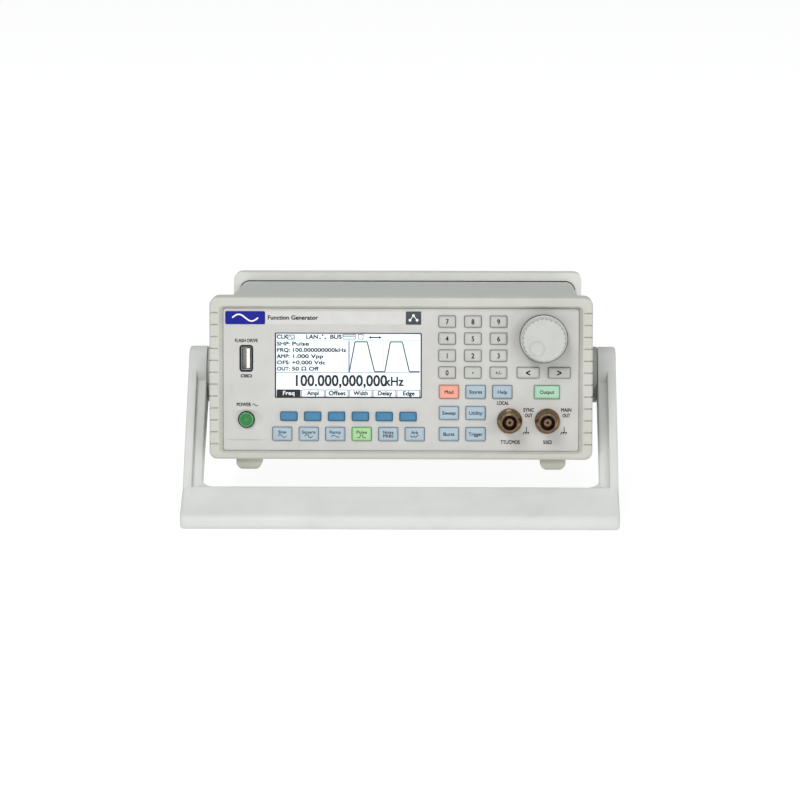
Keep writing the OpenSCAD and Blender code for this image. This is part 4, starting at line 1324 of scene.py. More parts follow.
@dataclass
class Display:
    """The lit display: clear window, white face and what it shows.

    Attributes:
        bench: Where the pieces are made.
        border: Width of the black line round the lit face, a painted shadow for the gap between
            the face and the window.
        tabs: Words along its bottom, the first one inverted.
        rows: Settings in its upper left.
        reading: The large figure.
        low: The window's lowest corner.
        size: The window's size.
    """

    bench: Bench
    border: float = 0.7
    tabs: Sequence[str] = ("Freq", "Ampl", "Offset", "Width", "Delay", "Edge")
    rows: Sequence[tuple[str, str]] = (("SHP:", "Pulse"), ("FRQ:", "100.000000000kHz"),
                                       ("AMP:", "1.000 Vpp"), ("OFS:", "+0.000 Vdc"),
                                       ("OUT:", "50 Ω Off"))
    reading: str = "100.000,000,000"
    low: Vector = field(init=False)
    size: Vector = field(init=False)

    def build(self) -> None:
        """Makes the window, the face and the shown marks."""
        low, high = self.bench.box("display_window")
        self.low, self.size = low, high - low
        pane = slab(window_in(low, high, -0.05, 0.3), low.y + 0.35, high.y, 0.12)
        self.bench.piece("display_window_pane", pane, Finishes.window, "case", "display_window")
        back = high.y + 0.25
        # A black frame round the lit face: painted shadow for the shaded gap round the face, drawn
        # in the display's black.
        mask = [across_y(window_in(low, high, 0.4, 0.2), back), across_y(
            window_in(low, high, -self.border, 0.2), back), across_y(
            window_in(low, high, -self.border, 0.2), back + 0.3), across_y(
            window_in(low, high, 0.4, 0.2), back + 0.3)]
        self.bench.piece("display_painted_shadow_line", loft(mask, closed=True), Finishes.display_black, "case")
        face = back + 0.2
        lit = slab(window_in(low, high, -0.3, 0.2), face, face + 3)
        self.bench.piece("display_face", lit, Finishes.display_white, "case", "lcd_module")
        self._marks(face)

    def _at(self, across: float, down: float) -> Point:
        """Returns the place of a share of the window's width and height."""
        return (self.low.x + across * self.size.x, self.low.z + (1 - down) * self.size.z)

    def _block(self, x0: float, x1: float, top: float, bottom: float, y: float,
               corner: float = 0.1) -> bmesh.types.BMesh:
        """Returns a thin block between shares of the window."""
        left, high = self._at(x0, top)
        right, low = self._at(x1, bottom)
        return slab(rounded(right - left, high - low, corner,
                            centre=((left + right) / 2, (high + low) / 2)), y - 0.04, y)

    def _marks(self, face: float) -> None:
        """Draws the status line, the settings, the graph, the reading and the tabs."""
        lines = []
        for i, (label, value) in enumerate(self.rows):
            down = 0.176 + 0.0955 * i
            lines.append(Lettering(label, *self._at(0.014, down), 2.15, left=True, bold=0.05,
                                   width=7.0))
            lines.append(Lettering(value, *self._at(0.115, down), 2.15, left=True, bold=0.05,
                                   width=1.86 * len(value)))
        for word, across in (("CLK", 0.012), ("LAN", 0.212), ("BUS", 0.374)):
            lines.append(Lettering(word, *self._at(across, 0.07), 2.25, left=True, bold=0.05,
                                   width=6.3))
        lines.append(Lettering(self.reading, *self._at(0.125, 0.745), 6.3, left=True, bold=0.03,
                               width=51.0))
        lines.append(Lettering("kHz", *self._at(0.748, 0.752), 5.2, left=True, bold=0.03,
                               width=10.0))
        edges = [0.012 + 0.976 * i / len(self.tabs) for i in range(len(self.tabs) + 1)]
        for word, x0, x1 in list(zip(self.tabs, edges, edges[1:]))[1:]:
            lines.append(Lettering(word, *self._at((x0 + x1) / 2 + 0.004, 0.93), 2.3, bold=0.05,
                                   width=1.58 * len(word)))
        self.bench.print_on("display_words", lines, face, Finishes.display_black, "case",
                            self._dark_marks(face, edges))
        first = Lettering(self.tabs[0], *self._at((edges[0] + edges[1]) / 2, 0.93), 2.3, width=6.4)
        self.bench.print_on("display_inverted_word", [first], face - 0.05, Finishes.white_ink,
                            "case")
        tints = [self._block(0.012, 0.985, 0.118, 0.127, face), self._block(
            0.735, 0.739, 0.14, 0.6, face), self._block(0.53, 0.985, 0.366, 0.37, face)]
        self.bench.print_on("display_guides", [], face, Finishes.display_blue, "case", tints)
        rule = [self._block(0.012, 0.985, 0.608, 0.618, face),
                self._block(0.5, 0.509, 0.13, 0.61, face)]
        self.bench.print_on("display_rules", [], face, Finishes.display_slate, "case", rule)

    def _dark_marks(self, face: float, edges: Sequence[float]) -> list[bmesh.types.BMesh]:
        """Draws the graph, the tabs' outlines and the status symbols."""
        trace = [(0.507, 0.6), (0.545, 0.142), (0.628, 0.142), (0.678, 0.596), (0.7485, 0.596),
                 (0.7855, 0.142), (0.867, 0.142), (0.915, 0.596), (0.985, 0.596)]
        marks = strokes([[self._at(*p) for p in trace]], 0.62, face)
        marks.append(self._block(edges[0], edges[1], 0.872, 0.985, face, 0.5))
        for x0, x1 in list(zip(edges, edges[1:]))[1:]:
            a, b = self._at(x0 + 0.006, 0.985), self._at(x1 - 0.002, 0.878)
            marks += strokes([[a, (a[0], b[1]), b, (b[0], a[1])]], 0.34, face)
        left, down = self._at(0.088, 0.105)
        marks += strokes([[(left, down), (left + 3.8, down), (left + 3.8, down + 2.3),
                           (left, down + 2.3), (left, down)],
                          wave("square", (left + 1.9, down + 1.15), 3.4, 1.2)], 0.32, face)
        for across, up in ((0.307, 0.08), (0.343, 0.08), (0.325, 0.03)):
            marks.append(slab(circle(0.5, 14, self._at(across, up + 0.012)), face - 0.04, face))
        marks.append(self._block(0.465, 0.545, 0.05, 0.062, face))
        for x0, x1 in ((0.463, 0.548), (0.568, 0.6)):
            a, b = self._at(x0, 0.1), self._at(x1, 0.03)
            marks += strokes([[a, (a[0], b[1]), b, (b[0], a[1]), a]], 0.32, face)
        marks += strokes([[self._at(0.65, 0.075), self._at(0.71, 0.075)]], 0.7, face)
        for tip, way in ((0.637, 1), (0.725, -1)):
            x, z = self._at(tip, 0.075)
            head = [(x, z), (x + way * 1.3, z + 0.8), (x + way * 1.3, z - 0.8)]
            marks.append(loft([across_y(head, face - 0.04), across_y(head, face)]))
        return marks


@dataclass
class Handle:
    """The carrying handle, which is also the tilt stand.

    Attributes:
        bench: Where the piece is made.
        flange_t: Thickness of the outer plate of each arm.
        web_t: Thickness of the arm's inner part.
        web_step: How far the inner part's front edge lies behind the plate's.
        arm_l: Length of the arm from its pivot to the bar.
        arm_w: Width of the arm at its pivot.
        arm_end_w: Width of the arm at the bar.
        boss_r: Radius of the round end at the pivot.
        pin_r: Radius of the pin's hole.
        pin_l: Depth of that hole.
        bar_l: Reach of the bar past the arm's end.
        bar_t: Thickness of the bar.
        kick: Angle between the bar and the arm, in degrees.
        lean: Angle between the arm and straight down, in degrees.
        corner: Radius of the inner corner between arm and bar.
        end_r: Rounding of the bar's ends.
        edge: Rounding of the long edges.
        pivot: The pivot's place.
        outer: Distance from the middle to an arm's outer face.
        inner: Distance from the middle to an arm's inner face.
    """

    bench: Bench
    flange_t: float = 5.0
    web_t: float = 5.5
    web_step: float = 4.0
    arm_l: float = 88.0
    arm_w: float = 28.0
    arm_end_w: float = 15.0
    boss_r: float = 16.0
    pin_r: float = 6.06
    pin_l: float = 7.1
    bar_l: float = 36.0
    bar_t: float = 9.0
    kick: float = 18.0
    lean: float = 46.0
    corner: float = 8.0
    end_r: float = 2.6
    edge: float = 0.9
    pivot: Vector = field(init=False)
    outer: float = field(init=False)
    inner: float = field(init=False)

    def __post_init__(self) -> None:
        """Finds the pivot and the outer faces in the frame."""
        self.pivot = self.bench.level(self.bench.joints["handle_pivot"]["pos_m"])
        self.outer = self.bench.box("handle")[1].x
        self.inner = self.outer - self.flange_t - self.web_t

    def _leaned(self, along: float, across: float) -> Point:
        """Returns Y and Z of a point given along and across the arm."""
        turn = math.radians(self.lean)
        return (self.pivot.y - along * math.sin(turn) - across * math.cos(turn),
                self.pivot.z - along * math.cos(turn) + across * math.sin(turn))

    def _kicked(self, out: float, across: float) -> Point:
        """Returns a point of the bar, given out from the arm's end, in the arm's directions."""
        turn = math.radians(self.kick)
        return (self.arm_l + out * math.cos(turn) - across * math.sin(turn),
                out * math.sin(turn) + across * math.cos(turn))

    def _arm_part(self, side: int, x0: float, x1: float, step: float) -> bmesh.types.BMesh:
        """Lofts the plate or the inner part of one arm from the pivot to the bar.

        Args:
            side: -1 for the left arm, 1 for the right.
            x0: Inner face.
            x1: Outer face.
            step: How far its front edge is set back.
        """
        end = self._kicked(7.0, 0.0)[0]
        stations = [(0.0, self.arm_w / 2 - step, -self.arm_w / 2),
                    (self.arm_l - 8, self.arm_end_w / 2 - step, -self.arm_end_w / 2),
                    (self.arm_l - 2, self.arm_end_w / 2 - step - 1, -self.arm_end_w / 2 + 1.6),
                    (end, self._kicked(7.0, self.bar_t / 2 - 2.4)[1],
                     self._kicked(7.0, -self.bar_t / 2 + 0.6)[1])]
        rings = []
        for along, front, back in stations:
            outline = rounded(x1 - x0, front - back, self.edge, 3,
                              ((x0 + x1) / 2, (front + back) / 2))
            ring = []
            for x, across in outline:
                y, z = self._leaned(along, across)
                ring.append(Vector((side * x, y, z)))
            rings.append(ring)
        return loft(rings)

    def _boss(self, side: int) -> bmesh.types.BMesh:
        """Turns the round end of one arm about the pivot."""
        rings = []
        for x, inset in ((self.inner, 0.8), (self.inner + 0.25, 0.25), (self.inner + 0.8, 0.0),
                         (self.outer - 1.6, 0.0), (self.outer - 0.7, 0.3), (self.outer - 0.2, 0.9),
                         (self.outer, 1.8)):
            outline = circle(self.boss_r - inset, 96, (self.pivot.y, self.pivot.z))
            rings.append(across_x(outline, side * x))
        return loft(rings)

    def _bar(self) -> bmesh.types.BMesh:
        """Lofts the bar across both arms, with its ends rounded."""
        middle, half = self.bar_l / 2 - 1, self.bar_t / 2
        outline = [self._kicked(out, across) for out, across in
                   arc((self.bar_l - half, 0.0), half, -90, 90, 16)
                   + [(3.4, half), (2.2, half - 0.2), (0.6, half - 1.5), (0.2, half - 2.1),
                      (0.0, 1.0 - half), (0.3, 0.3 - half), (1.0, -half)]]
        core = self._kicked(middle, 0.0)
        rings = []
        for side in (-1, 1):
            run = []
            for inset in (self.end_r, 0.6 * self.end_r, 0.3 * self.end_r, 0.1 * self.end_r, 0.0):
                reach = math.sqrt(self.end_r ** 2 - (self.end_r - inset) ** 2)
                x = side * (self.outer - self.end_r + reach)
                ring = []
                for along, across in outline:
                    d = Vector((along - core[0], across - core[1]))
                    p = Vector(core) + d * (1 - inset / max(d.length, 3.0))
                    y, z = self._leaned(p.x, p.y)
                    ring.append(Vector((x, y, z)))
                run.append(ring)
            rings += run if side == -1 else run[::-1]
        return loft(rings)

    def _inner_corner(self, side: int) -> bmesh.types.BMesh:
        """Makes the fillet between one arm's inner face and the bar's top."""
        r = self.corner
        flat = [(self.inner + 1.5, -1.5), (self.inner + 1.5, r)]
        flat += [(self.inner - r + r * math.cos(math.radians(a)),
                  r - r * math.sin(math.radians(a))) for a in range(0, 91, 9)]
        flat += [(self.inner - r, -1.5)]
        rings = []
        half = self.bar_t / 2
        for across, drop in ((0.2 - half, 0.4), (0.9 - half, 0.1), (half - 2.1, 0.2),
                             (half - 1.3, 0.7)):
            ring = []
            for x, rise in flat:
                along, over = self._kicked(drop - rise, across)
                y, z = self._leaned(along, over)
                ring.append(Vector((side * x, y, z)))
            rings.append(ring)
        return loft(rings)

    def build(self) -> None:
        """Makes the handle."""
        whole = self._bar()
        for side in (-1, 1):
            split = self.outer - self.flange_t
            for part in (self._arm_part(side, split, self.outer, 0.0),
                         self._arm_part(side, self.inner, split + 1, self.web_step),
                         self._boss(side), self._inner_corner(side)):
                whole = combined(whole, part, "UNION")
            hole = loft([across_x(circle(self.pin_r, 48, (self.pivot.y, self.pivot.z)), side * x)
                         for x in (self.inner - 1, self.inner + self.pin_l)])
            whole = combined(whole, hole, "DIFFERENCE")
        self.bench.piece("handle_moulding", whole, Finishes.handle_abs, "handle", "handle",
                         crease=40)


@dataclass
class Feet:
    """The four feet under the case, with sloping sides and eased edges.

    Attributes:
        bench: Where the piece is made.
        top_w: Width at the case.
        bottom_w: Width at the ground.
        length: Length front to back.
        turn: Height from the ground at which the sides turn in.
    """

    bench: Bench
    top_w: float = 14.3
    bottom_w: float = 8.9
    length: float = 16.0
    turn: float = 3.3

    def build(self) -> None:
        """Makes the feet as one piece."""
        low, high = self.bench.box("feet")
        meshes = []
        for x in (low.x + self.top_w / 2, high.x - self.top_w / 2):
            for y in (low.y + self.length / 2, high.y - self.length / 2):
                rings = []
                for width, shorter, z in ((self.top_w, 0, high.z),
                                          (self.top_w, 0, low.z + self.turn),
                                          (self.top_w - 0.6, 0.1, low.z + 0.72 * self.turn),
                                          (self.top_w - 1.9, 0.5, low.z + 0.42 * self.turn),
                                          (self.bottom_w + 1.6, 1.2, low.z + 0.14 * self.turn),
                                          (self.bottom_w - 0.4, 2.4, low.z)):
                    outline = rounded(width, self.length - shorter, 0.8, 4, (x, y))
                    rings.append([Vector((a, b, z)) for a, b in outline])
                meshes.append(loft(rings))
        self.bench.piece("moulded_feet", joined(meshes), Finishes.foot_rubber, "case", "feet")


@dataclass
class MainsInlet:
    """The mains inlet on the rear panel with its fuse drawer.

    Attributes:
        bench: Where the pieces are made.
        flange_t: Thickness of the flange on the panel.
        plug_w: Width of the plug's recess.
        plug_h: Height of the plug's recess.
        plug_depth: Depth of that recess.
        plug_up: How far the recess's middle lies above the flange's.
        drawer: Width and height of the fuse drawer.
        drawer_down: How far the drawer's middle lies below the flange's.
        drawer_l: Length of the drawer.
        x: The flange's middle across.
        z: The flange's middle height.
    """

    bench: Bench
    flange_t: float = 2.5
    plug_w: float = 23.9
    plug_h: float = 16.0
    plug_depth: float = 16.5
    plug_up: float = 8.0
    drawer: Point = (22.0, 8.0)
    drawer_down: float = 12.0
    drawer_l: float = 24.0
    x: float = field(init=False)
    z: float = field(init=False)

    def _plug(self, grow: float) -> list[Point]:
        """Returns the recess's outline with its two cut corners, let out by grow."""
        w, h, cut = self.plug_w / 2 + grow, self.plug_h / 2 + grow, 5.0
        z = self.z + self.plug_up
        return [(self.x - w, z - h), (self.x + w, z - h), (self.x + w, z + h - cut),
                (self.x + w - cut, z + h), (self.x - w + cut, z + h), (self.x - w, z + h - cut)]

    def build(self) -> None:
        """Makes the inlet, its blades and the drawer."""
        low, high = self.bench.box("mains_inlet")
        self.x, self.z = middle_of((low, high))
        face = high.y - self.flange_t
        flange = slab(window_in(low, high, 0.0, 2.0), face, high.y, 0.0, 0.6)
        body = slab(window_in(low, high, -2.6, 1.0), low.y, face + 0.5)
        whole = combined(flange, body, "UNION")
        mouth = loft([across_y(self._plug(g), y) for g, y in (
            (1.3, high.y + 0.6), (0.8, high.y - 0.1), (0.0, high.y - 1.0),
            (0.0, high.y - self.plug_depth))])
        whole = combined(whole, mouth, "DIFFERENCE")
        z = self.z - self.drawer_down
        slot = slab(rounded(self.drawer[0] + 0.5, self.drawer[1] + 0.5, 0.5, centre=(self.x, z)),
                    high.y - self.drawer_l - 1, high.y + 1)
        whole = combined(whole, slot, "DIFFERENCE")
        self.bench.piece("mains_inlet_moulding", whole, Finishes.black_nylon, "case",
                         "mains_inlet", crease=26)
        blades = [slab(rounded(2.0, 4.0, 0.4, centre=(self.x + dx, self.z + self.plug_up + dz)),
                       high.y - self.plug_depth - 0.5, high.y - 4.5, 0.0, 0.4)
                  for dx, dz in ((-7, -2), (0, 2), (7, -2))]
        self.bench.piece("mains_blades", joined(blades), Finishes.plated_steel, "case")
        drawer = slab(rounded(self.drawer[0], self.drawer[1], 0.6, centre=(self.x, z)),
                      high.y - self.drawer_l, high.y + 0.05, 0.0, 0.3)
        grip = slab(rounded(self.drawer[0] + 1.9, 2.4, 0.8, centre=(self.x, z)), high.y,
                    high.y + 0.98, 0.0, 0.35)
        self.bench.piece("fuse_drawer_moulding", combined(drawer, grip, "UNION"),
                         Finishes.black_nylon, "fuse_drawer", "fuse_drawer")


@dataclass
class DataSockets:
    """The rear network, device and instrument bus sockets.

    Attributes:
        bench: Where the pieces are made.
        network: Middle, width and height of the network socket.
        device: Middle, width and height of the device socket.
        bus: Middle, width and height of the instrument bus plate.
        proud: How far the shells stand out of the panel.
        face: Depth of the rear panel's face.
    """

    bench: Bench
    network: tuple[float, float, float] = (-32.0, 16.0, 13.5)
    device: tuple[float, float, float] = (-8.0, 12.0, 11.0)
    bus: tuple[float, float, float] = (56.0, 54.0, 15.0)
    proud: float = 1.5
    face: float = field(init=False)

    def _shell(self, centre: Point, size: Point, hole: Point, back: float,
               lift: float = 0.0) -> bmesh.types.BMesh:
        """Makes a box socket with an open mouth."""
        depth = self.face + self.proud
        outer = slab(rounded(*size, 0.5, centre=centre), self.face - 16, depth, 0.0, 0.25)
        mouth = loft([across_y(rounded(hole[0] + 2 * g, hole[1] + 2 * g, 0.4,
                                       centre=(centre[0], centre[1] + lift)), y)
                      for g, y in ((0.5, depth + 0.4), (0.05, depth - 0.4), (0.0, depth - back))])
        return combined(outer, mouth, "DIFFERENCE")

    def build(self) -> None:
        """Makes the three sockets."""
        low, high = self.bench.box("data_sockets")
        self.face = self.bench.box("rear_panel")[1].y
        z = (low.z + high.z) / 2
        lan = self._shell((self.network[0], z), self.network[1:], (11.8, 8.2), 14.5)
        usb = self._shell((self.device[0], z), self.device[1:], (9.0, 8.0), 11.5)
        self.bench.piece("data_socket_shells", joined([lan, usb]), Finishes.plated_steel, "case",
                         "data_sockets", crease=26)
        tongue = slab(rounded(5.6, 3.2, 0.5, centre=(self.device[0], z)), self.face - 10.5,
                      self.face + 0.6, 0.0, 0.3)
        ledge = slab(rounded(5.0, 1.6, 0.3, centre=(self.network[0], z - 3.2)), self.face - 12,
                     self.face + 1.0, 0.0, 0.2)
        pins = [slab(rounded(0.45, 0.5, 0.1, centre=(self.network[0] + (i - 3.5) * 1.02, z + 3.1)),
                     self.face - 12, self.face - 0.5) for i in range(8)]
        self.bench.piece("data_socket_tongues", joined([tongue, ledge]), Finishes.black_nylon,
                         "case")
        self.bench.piece("network_contacts", joined(pins), Finishes.gold_contact, "case")
        x, width, height = self.bus
        plate = slab(rounded(width, height, 1.5, centre=(x, z)), self.face - 9, self.face + 0.02)
        skirt = [across_y(rounded(w, h, r, centre=(x, z)), y) for w, h, r, y in (
            (width - 12, height - 3, 3, self.face), (width - 12, height - 3, 3, high.y - 0.4),
            (width - 12.8, height - 3.8, 2.6, high.y),
            (width - 13.4, height - 4.4, 2.2, high.y - 0.2),
            (width - 14, height - 5, 2, self.face + 1), (width - 14, height - 5, 2, self.face))]
        self.bench.piece("bus_socket_shell", joined([plate, loft(skirt, closed=True)]),
                         Finishes.plated_steel, "case")
        bar = slab(rounded(34.0, 3.4, 1.0, centre=(x, z)), self.face, high.y - 1.2, 0.0, 0.4)
        rows = [slab(rounded(0.9, 0.3, 0.1, centre=(x + (i - 5.5) * 2.16, z + side * 1.75)),
                     self.face, high.y - 1.6) for i in range(12) for side in (-1, 1)]
        self.bench.piece("bus_socket_tongue", bar, Finishes.black_nylon, "case")
        self.bench.piece("bus_contacts", joined(rows), Finishes.gold_contact, "case")
        posts = []
        for side in (-1, 1):
            post = [(3.2, self.face), (3.2, self.face + 4.3), (2.9, self.face + 4.6),
                    (1.6, self.face + 4.6), (1.6, self.face)]
            posts.append(lathe(post, (x + side * 23.4, z), 6, closed=True))
        self.bench.piece("bus_screw_posts", joined(posts), Finishes.brushed_sheet, "case")


@dataclass
class RearCoax:
    """The row of coaxial sockets on the rear panel.

    Attributes:
        bench: Where the pieces are made.
        words: Each socket's use, from right to left.
        inset: Distance of the first socket's axis from the row's end.
        pitch: Distance between sockets.
    """

    bench: Bench
    words: Sequence[str] = ("MOD IN", "REF IN", "REF OUT", "TRIG IN")
    inset: float = 7.25
    pitch: float = 19.0

    def centres(self) -> list[Point]:
        """Returns the sockets' axes."""
        low, high = self.bench.box("bnc_sockets_rear")
        return [(high.x - self.inset - self.pitch * i, (low.z + high.z) / 2)
                for i in range(len(self.words))]

    def build(self) -> None:
        """Makes the sockets."""
        face = self.bench.box("rear_panel")[1].y
        tip = self.bench.box("bnc_sockets_rear")[1].y
        for i, centre in enumerate(self.centres()):
            socket = CoaxSocket(self.bench, f"rear_coax_{i + 1}", centre, face, tip,
                                metal=Finishes.pale_nickel)
            socket.build("bnc_sockets_rear" if i == 0 else None)


@dataclass
class RearPrint:
    """The generic print on the rear panel.

    Attributes:
        bench: Where the piece is made.
        coax: The row of coaxial sockets, whose words stand over them.
        cap: Height of the capitals.
        coax_rise: Height of those words over the sockets' axes.
        words: Each other word with its place across, its height and its width's squeeze.
    """

    bench: Bench
    coax: RearCoax
    cap: float = 2.3
    coax_rise: float = 10.6
    words: Sequence[tuple[str, float, float, float]] = (
        ("LAN", -32.0, -12.4, 0.85), ("DEVICE", -8.0, -13.4, 0.8), ("BUS", 56.0, -11.6, 0.85),
        ("AC 100-240V ~", -73.5, 27.0, 0.8), ("50/60Hz 25VA", -73.5, -27.0, 0.8))

    def build(self) -> None:
        """Prints the words by the sockets."""
        face = self.bench.box("rear_panel")[1].y
        lines = [Lettering(word, x, z + self.coax_rise, self.cap, 0.8)
                 for word, (x, z) in zip(self.coax.words, self.coax.centres())]
        lines += [Lettering(word, x, z, self.cap, squeeze) for word, x, z, squeeze in self.words]
        self.bench.print_on("rear_print", lines, face, Finishes.black_ink, "case", rear=True)


@dataclass
class ScrewHeads:
    """The four countersunk heads in the rear bezel, with cross recesses.

    Attributes:
        bench: Where the piece is made.
        head_r: Radius of a head.
        head_t: Thickness of a head.
        slot: Length and width of a recess's arm.
    """

    bench: Bench
    head_r: float = 2.85
    head_t: float = 1.7
    slot: Point = (3.2, 0.8)

    def build(self) -> None:
        """Makes the screws."""
        low, high = self.bench.box("screws")
        meshes = []
        for x in (low.x + self.head_r, high.x - self.head_r):
            for z in (low.z + self.head_r, high.z - self.head_r):
                back = high.y
                profile = [(0.0, back - 12), (1.5, back - 12), (1.5, back - self.head_t),
                           (self.head_r, back - self.head_t), (self.head_r, back - 0.5),
                           (self.head_r - 0.5, back - 0.12), (0.0, back)]
                head = lathe(profile, (x, z), 32)
                for length, width in (self.slot, self.slot[::-1]):
                    recess = slab(rounded(length, width, 0.2, 2, (x, z)), back - 1.1, back + 0.5)
                    head = combined(head, recess, "DIFFERENCE")
                meshes.append(head)
        self.bench.piece("rear_screws", joined(meshes), Finishes.plated_steel, "case", "screws")


@dataclass
class Surroundings:
    """The pale floor, the studio light and the camera.

    Attributes:
        aim: The point that the camera looks at, in metres.
        azimuth: How far the camera stands to the right of the front, in degrees.
        elevation: How far it looks down, in degrees.
        distance: How far it stands from the point.
        lens: Its focal length on a 36 mm sensor.
        floor: Colour of the floor.
        floor_glow: Strength of the light that comes through the floor, as on a light table.
        sky: Strength of the light from all round.
    """

    aim: tuple[float, float, float] = (-0.0008, -0.100, 0.0622)
    azimuth: float = 0.92
    elevation: float = 10.36
    distance: float = 2.46
    lens: float = 195.7
    floor: str = "#909090"
    floor_glow: float = 0.8
    sky: float = 0.42

    def _lamp(self, name: str, place: tuple[float, float, float], size: Point,
              power: float) -> None:
        """Hangs a soft rectangular lamp that faces the instrument."""
        data = bpy.data.lights.new(name, "AREA")
        data.shape, data.size, data.size_y, data.energy = "RECTANGLE", *size, power
        lamp = bpy.data.objects.new(name, data)
        lamp.location = place
        towards = Vector((0.0, -0.05, 0.06)) - Vector(place)
        lamp.rotation_euler = towards.to_track_quat("-Z", "Y").to_euler()
        bpy.context.scene.collection.objects.link(lamp)

    def _floor(self) -> None:
        """Lays a wide round floor under the instrument."""
        mesh = bmesh.new()
        bmesh.ops.create_circle(mesh, cap_ends=True, segments=96, radius=14)
        data = bpy.data.meshes.new("floor")
        mesh.to_mesh(data)
        mesh.free()
        material = bpy.data.materials.new("pale_paper_sweep")
        material.use_nodes = True
        tree = material.node_tree
        tree.nodes.clear()
        place = add_node(tree, "ShaderNodeTexCoord")
        fibre = add_node(tree, "ShaderNodeTexNoise", {"Scale": 1 / (4 * MM), "Detail": 2.0},
                         {"Vector": place.outputs["Object"]})
        tone = add_node(tree, "ShaderNodeValToRGB", {}, {"Fac": fibre.outputs["Fac"]})
        set_ramp(tone, [(0.3, shifted(self.floor, -0.004)), (0.7, self.floor)])
        skin = add_node(tree, "ShaderNodeBsdfPrincipled",
                        {"Roughness": 0.95, "Emission Strength": self.floor_glow,
                         "Emission Color": linear_rgb("#ffffff")},
                        {"Base Color": tone.outputs["Color"]})
        add_node(tree, "ShaderNodeOutputMaterial", {}, {"Surface": skin.outputs["BSDF"]})
        data.materials.append(material)
        floor = bpy.data.objects.new("floor", data)
        floor.location.z = min(0.0, CAD_BOUNDS[0][2]) - 0.0002
        bpy.context.scene.collection.objects.link(floor)

    def build(self) -> None:
        """Makes the floor, the lamps, the world and the camera."""
        self._floor()
        self._lamp("key_lamp", (-1.4, -3.6, 3.4), (1.8, 1.6), 104.0)
        self._lamp("fill_lamp", (2.4, -4.0, 1.2), (2.6, 1.8), 54.0)
        self._lamp("top_lamp", (0.0, 0.5, 3.6), (2.4, 2.0), 26.0)
        world = bpy.data.worlds.new("studio")
        bpy.context.scene.world = world
        world.use_nodes = True
        world.node_tree.nodes.clear()
        light = add_node(world.node_tree, "ShaderNodeBackground",
                         {"Color": linear_rgb("#f7f9fc"), "Strength": self.sky})
        add_node(world.node_tree, "ShaderNodeOutputWorld", {},
                 {"Surface": light.outputs["Background"]})
        bpy.context.scene.view_settings.view_transform = "Standard"
        data = bpy.data.cameras.new("camera")
        data.lens, data.sensor_width = self.lens, 36
        data.clip_end = 60
        camera = bpy.data.objects.new("camera", data)
        side, up = math.radians(self.azimuth), math.radians(self.elevation)
        offset = Vector((math.sin(side) * math.cos(up), -math.cos(side) * math.cos(up),
                         math.sin(up)))
        camera.location = Vector(self.aim) + offset * self.distance
        camera.rotation_euler = (-offset).to_track_quat("-Z", "Y").to_euler()
        bpy.context.scene.collection.objects.link(camera)
        bpy.context.scene.camera = camera


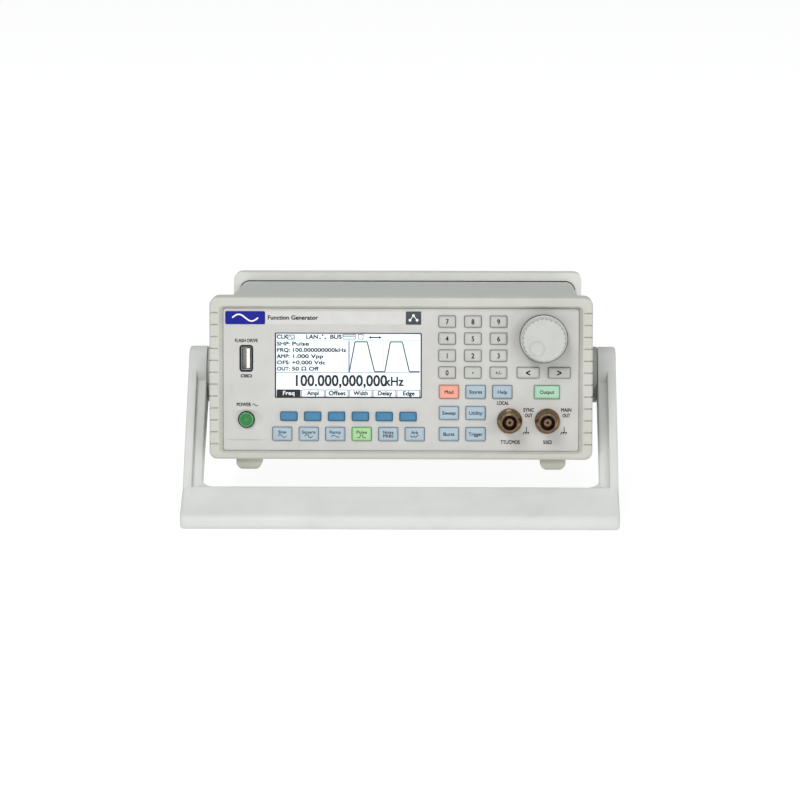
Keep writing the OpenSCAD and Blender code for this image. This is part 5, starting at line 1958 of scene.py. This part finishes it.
def instrument_keys(bench: Bench) -> list[Key]:
    """Returns every key with its colour and legend."""
    keys = [Key(bench, f"soft_key_{i}", Finishes.soft_blue, bevel=0.7) for i in range(1, 7)]
    waves = (("sine", "Sine", 4.3), ("square", "Square", 7.6), ("ramp", "Ramp", 6.2),
             ("pulse", "Pulse", 5.8), ("arb", "Arb", 3.8))
    for name, word, width in waves:
        finish = Finishes.leaf_green if name == "pulse" else Finishes.sky_blue
        keys.append(Key(bench, f"{name}_key", finish, (word,), 1.75, name, width))
    keys.append(Key(bench, "noise_key", Finishes.sky_blue, ("Noise", "PRBS"), 1.75, legend_w=5.8))
    keys += [Key(bench, f"digit_{n}", Finishes.stone, (str(n),), 2.9, weight=0.03)
             for n in range(10)]
    keys += [Key(bench, "point_key", Finishes.stone, (".",), 3.2, weight=0.05),
             Key(bench, "sign_key", Finishes.stone, ("+/-",), 2.2, legend_w=3.4),
             Key(bench, "cursor_left", Finishes.stone, ("<",), 4.0, weight=0.03),
             Key(bench, "cursor_right", Finishes.stone, (">",), 4.0, weight=0.03),
             Key(bench, "mod_key", Finishes.salmon, ("Mod",), 2.0, legend_w=4.8)]
    words = (("Stores", 7.2), ("Help", 5.3), ("Sweep", 7.5), ("Utility", 7.5), ("Burst", 6.3),
             ("Trigger", 7.8))
    keys += [Key(bench, f"{word.lower()}_key", Finishes.sky_blue, (word,), 2.0, legend_w=width)
             for word, width in words]
    keys.append(Key(bench, "output_key", Finishes.mint_green, ("Output",), 2.0, legend_w=8.0))
    return keys


def dress_kept_nodes(bench: Bench) -> None:
    """Gives the CAD nodes that stay visible their materials."""
    bench.dress("chassis_tray", Finishes.powder_paint)
    bench.dress("rear_panel", Finishes.brushed_sheet)
    bench.dress("power_supply", Finishes.brushed_sheet)
    # The bosses' dark grey is painted shade.
    bench.dress("pivot_bosses", Finishes.boss_abs)
    bench.dress("keypad_mat", Finishes.grey_silicone)
    bench.dress("front_board", Finishes.green_board)
    bench.dress("main_board", Finishes.green_board)
    bench.dress("encoder_body", Finishes.plated_steel)
    bench.dress("encoder_shaft", Finishes.plated_steel)


def main() -> None:
    """Builds the instrument, sub-assembly by sub-assembly."""
    logging.basicConfig(level=logging.INFO, format="%(message)s")
    bench = Bench(Finishes())
    keys = instrument_keys(bench)
    Bezel(bench, "front_bezel", "front_panel", front=True).build()
    Bezel(bench, "rear_bezel", "rear_panel", front=False).build()
    TopCover(bench).build()
    panel = FrontPanel(bench, [key.node for key in keys])
    panel.build()
    for key in keys:
        key.build()
    ControlKnob(bench).build()
    PowerButton(bench).build()
    face = bench.box("front_panel")[0].y
    mouth = bench.box("bnc_sockets_front")[0].y
    for name, centre in zip(("sync_out", "main_out"), panel.coax_centres()):
        CoaxSocket(bench, name, centre, face, mouth).build(
            "bnc_sockets_front" if name == "sync_out" else None)
    rear_coax = RearCoax(bench)
    rear_coax.build()
    MemorySocket(bench).build()
    Display(bench).build()
    Handle(bench).build()
    Feet(bench).build()
    MainsInlet(bench).build()
    DataSockets(bench).build()
    RearPrint(bench, rear_coax).build()
    ScrewHeads(bench).build()
    dress_kept_nodes(bench)
    Surroundings().build()
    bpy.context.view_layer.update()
    LOG.info("%d materials", len(bench.finishes.made))


if __name__ == "__main__":
    main()
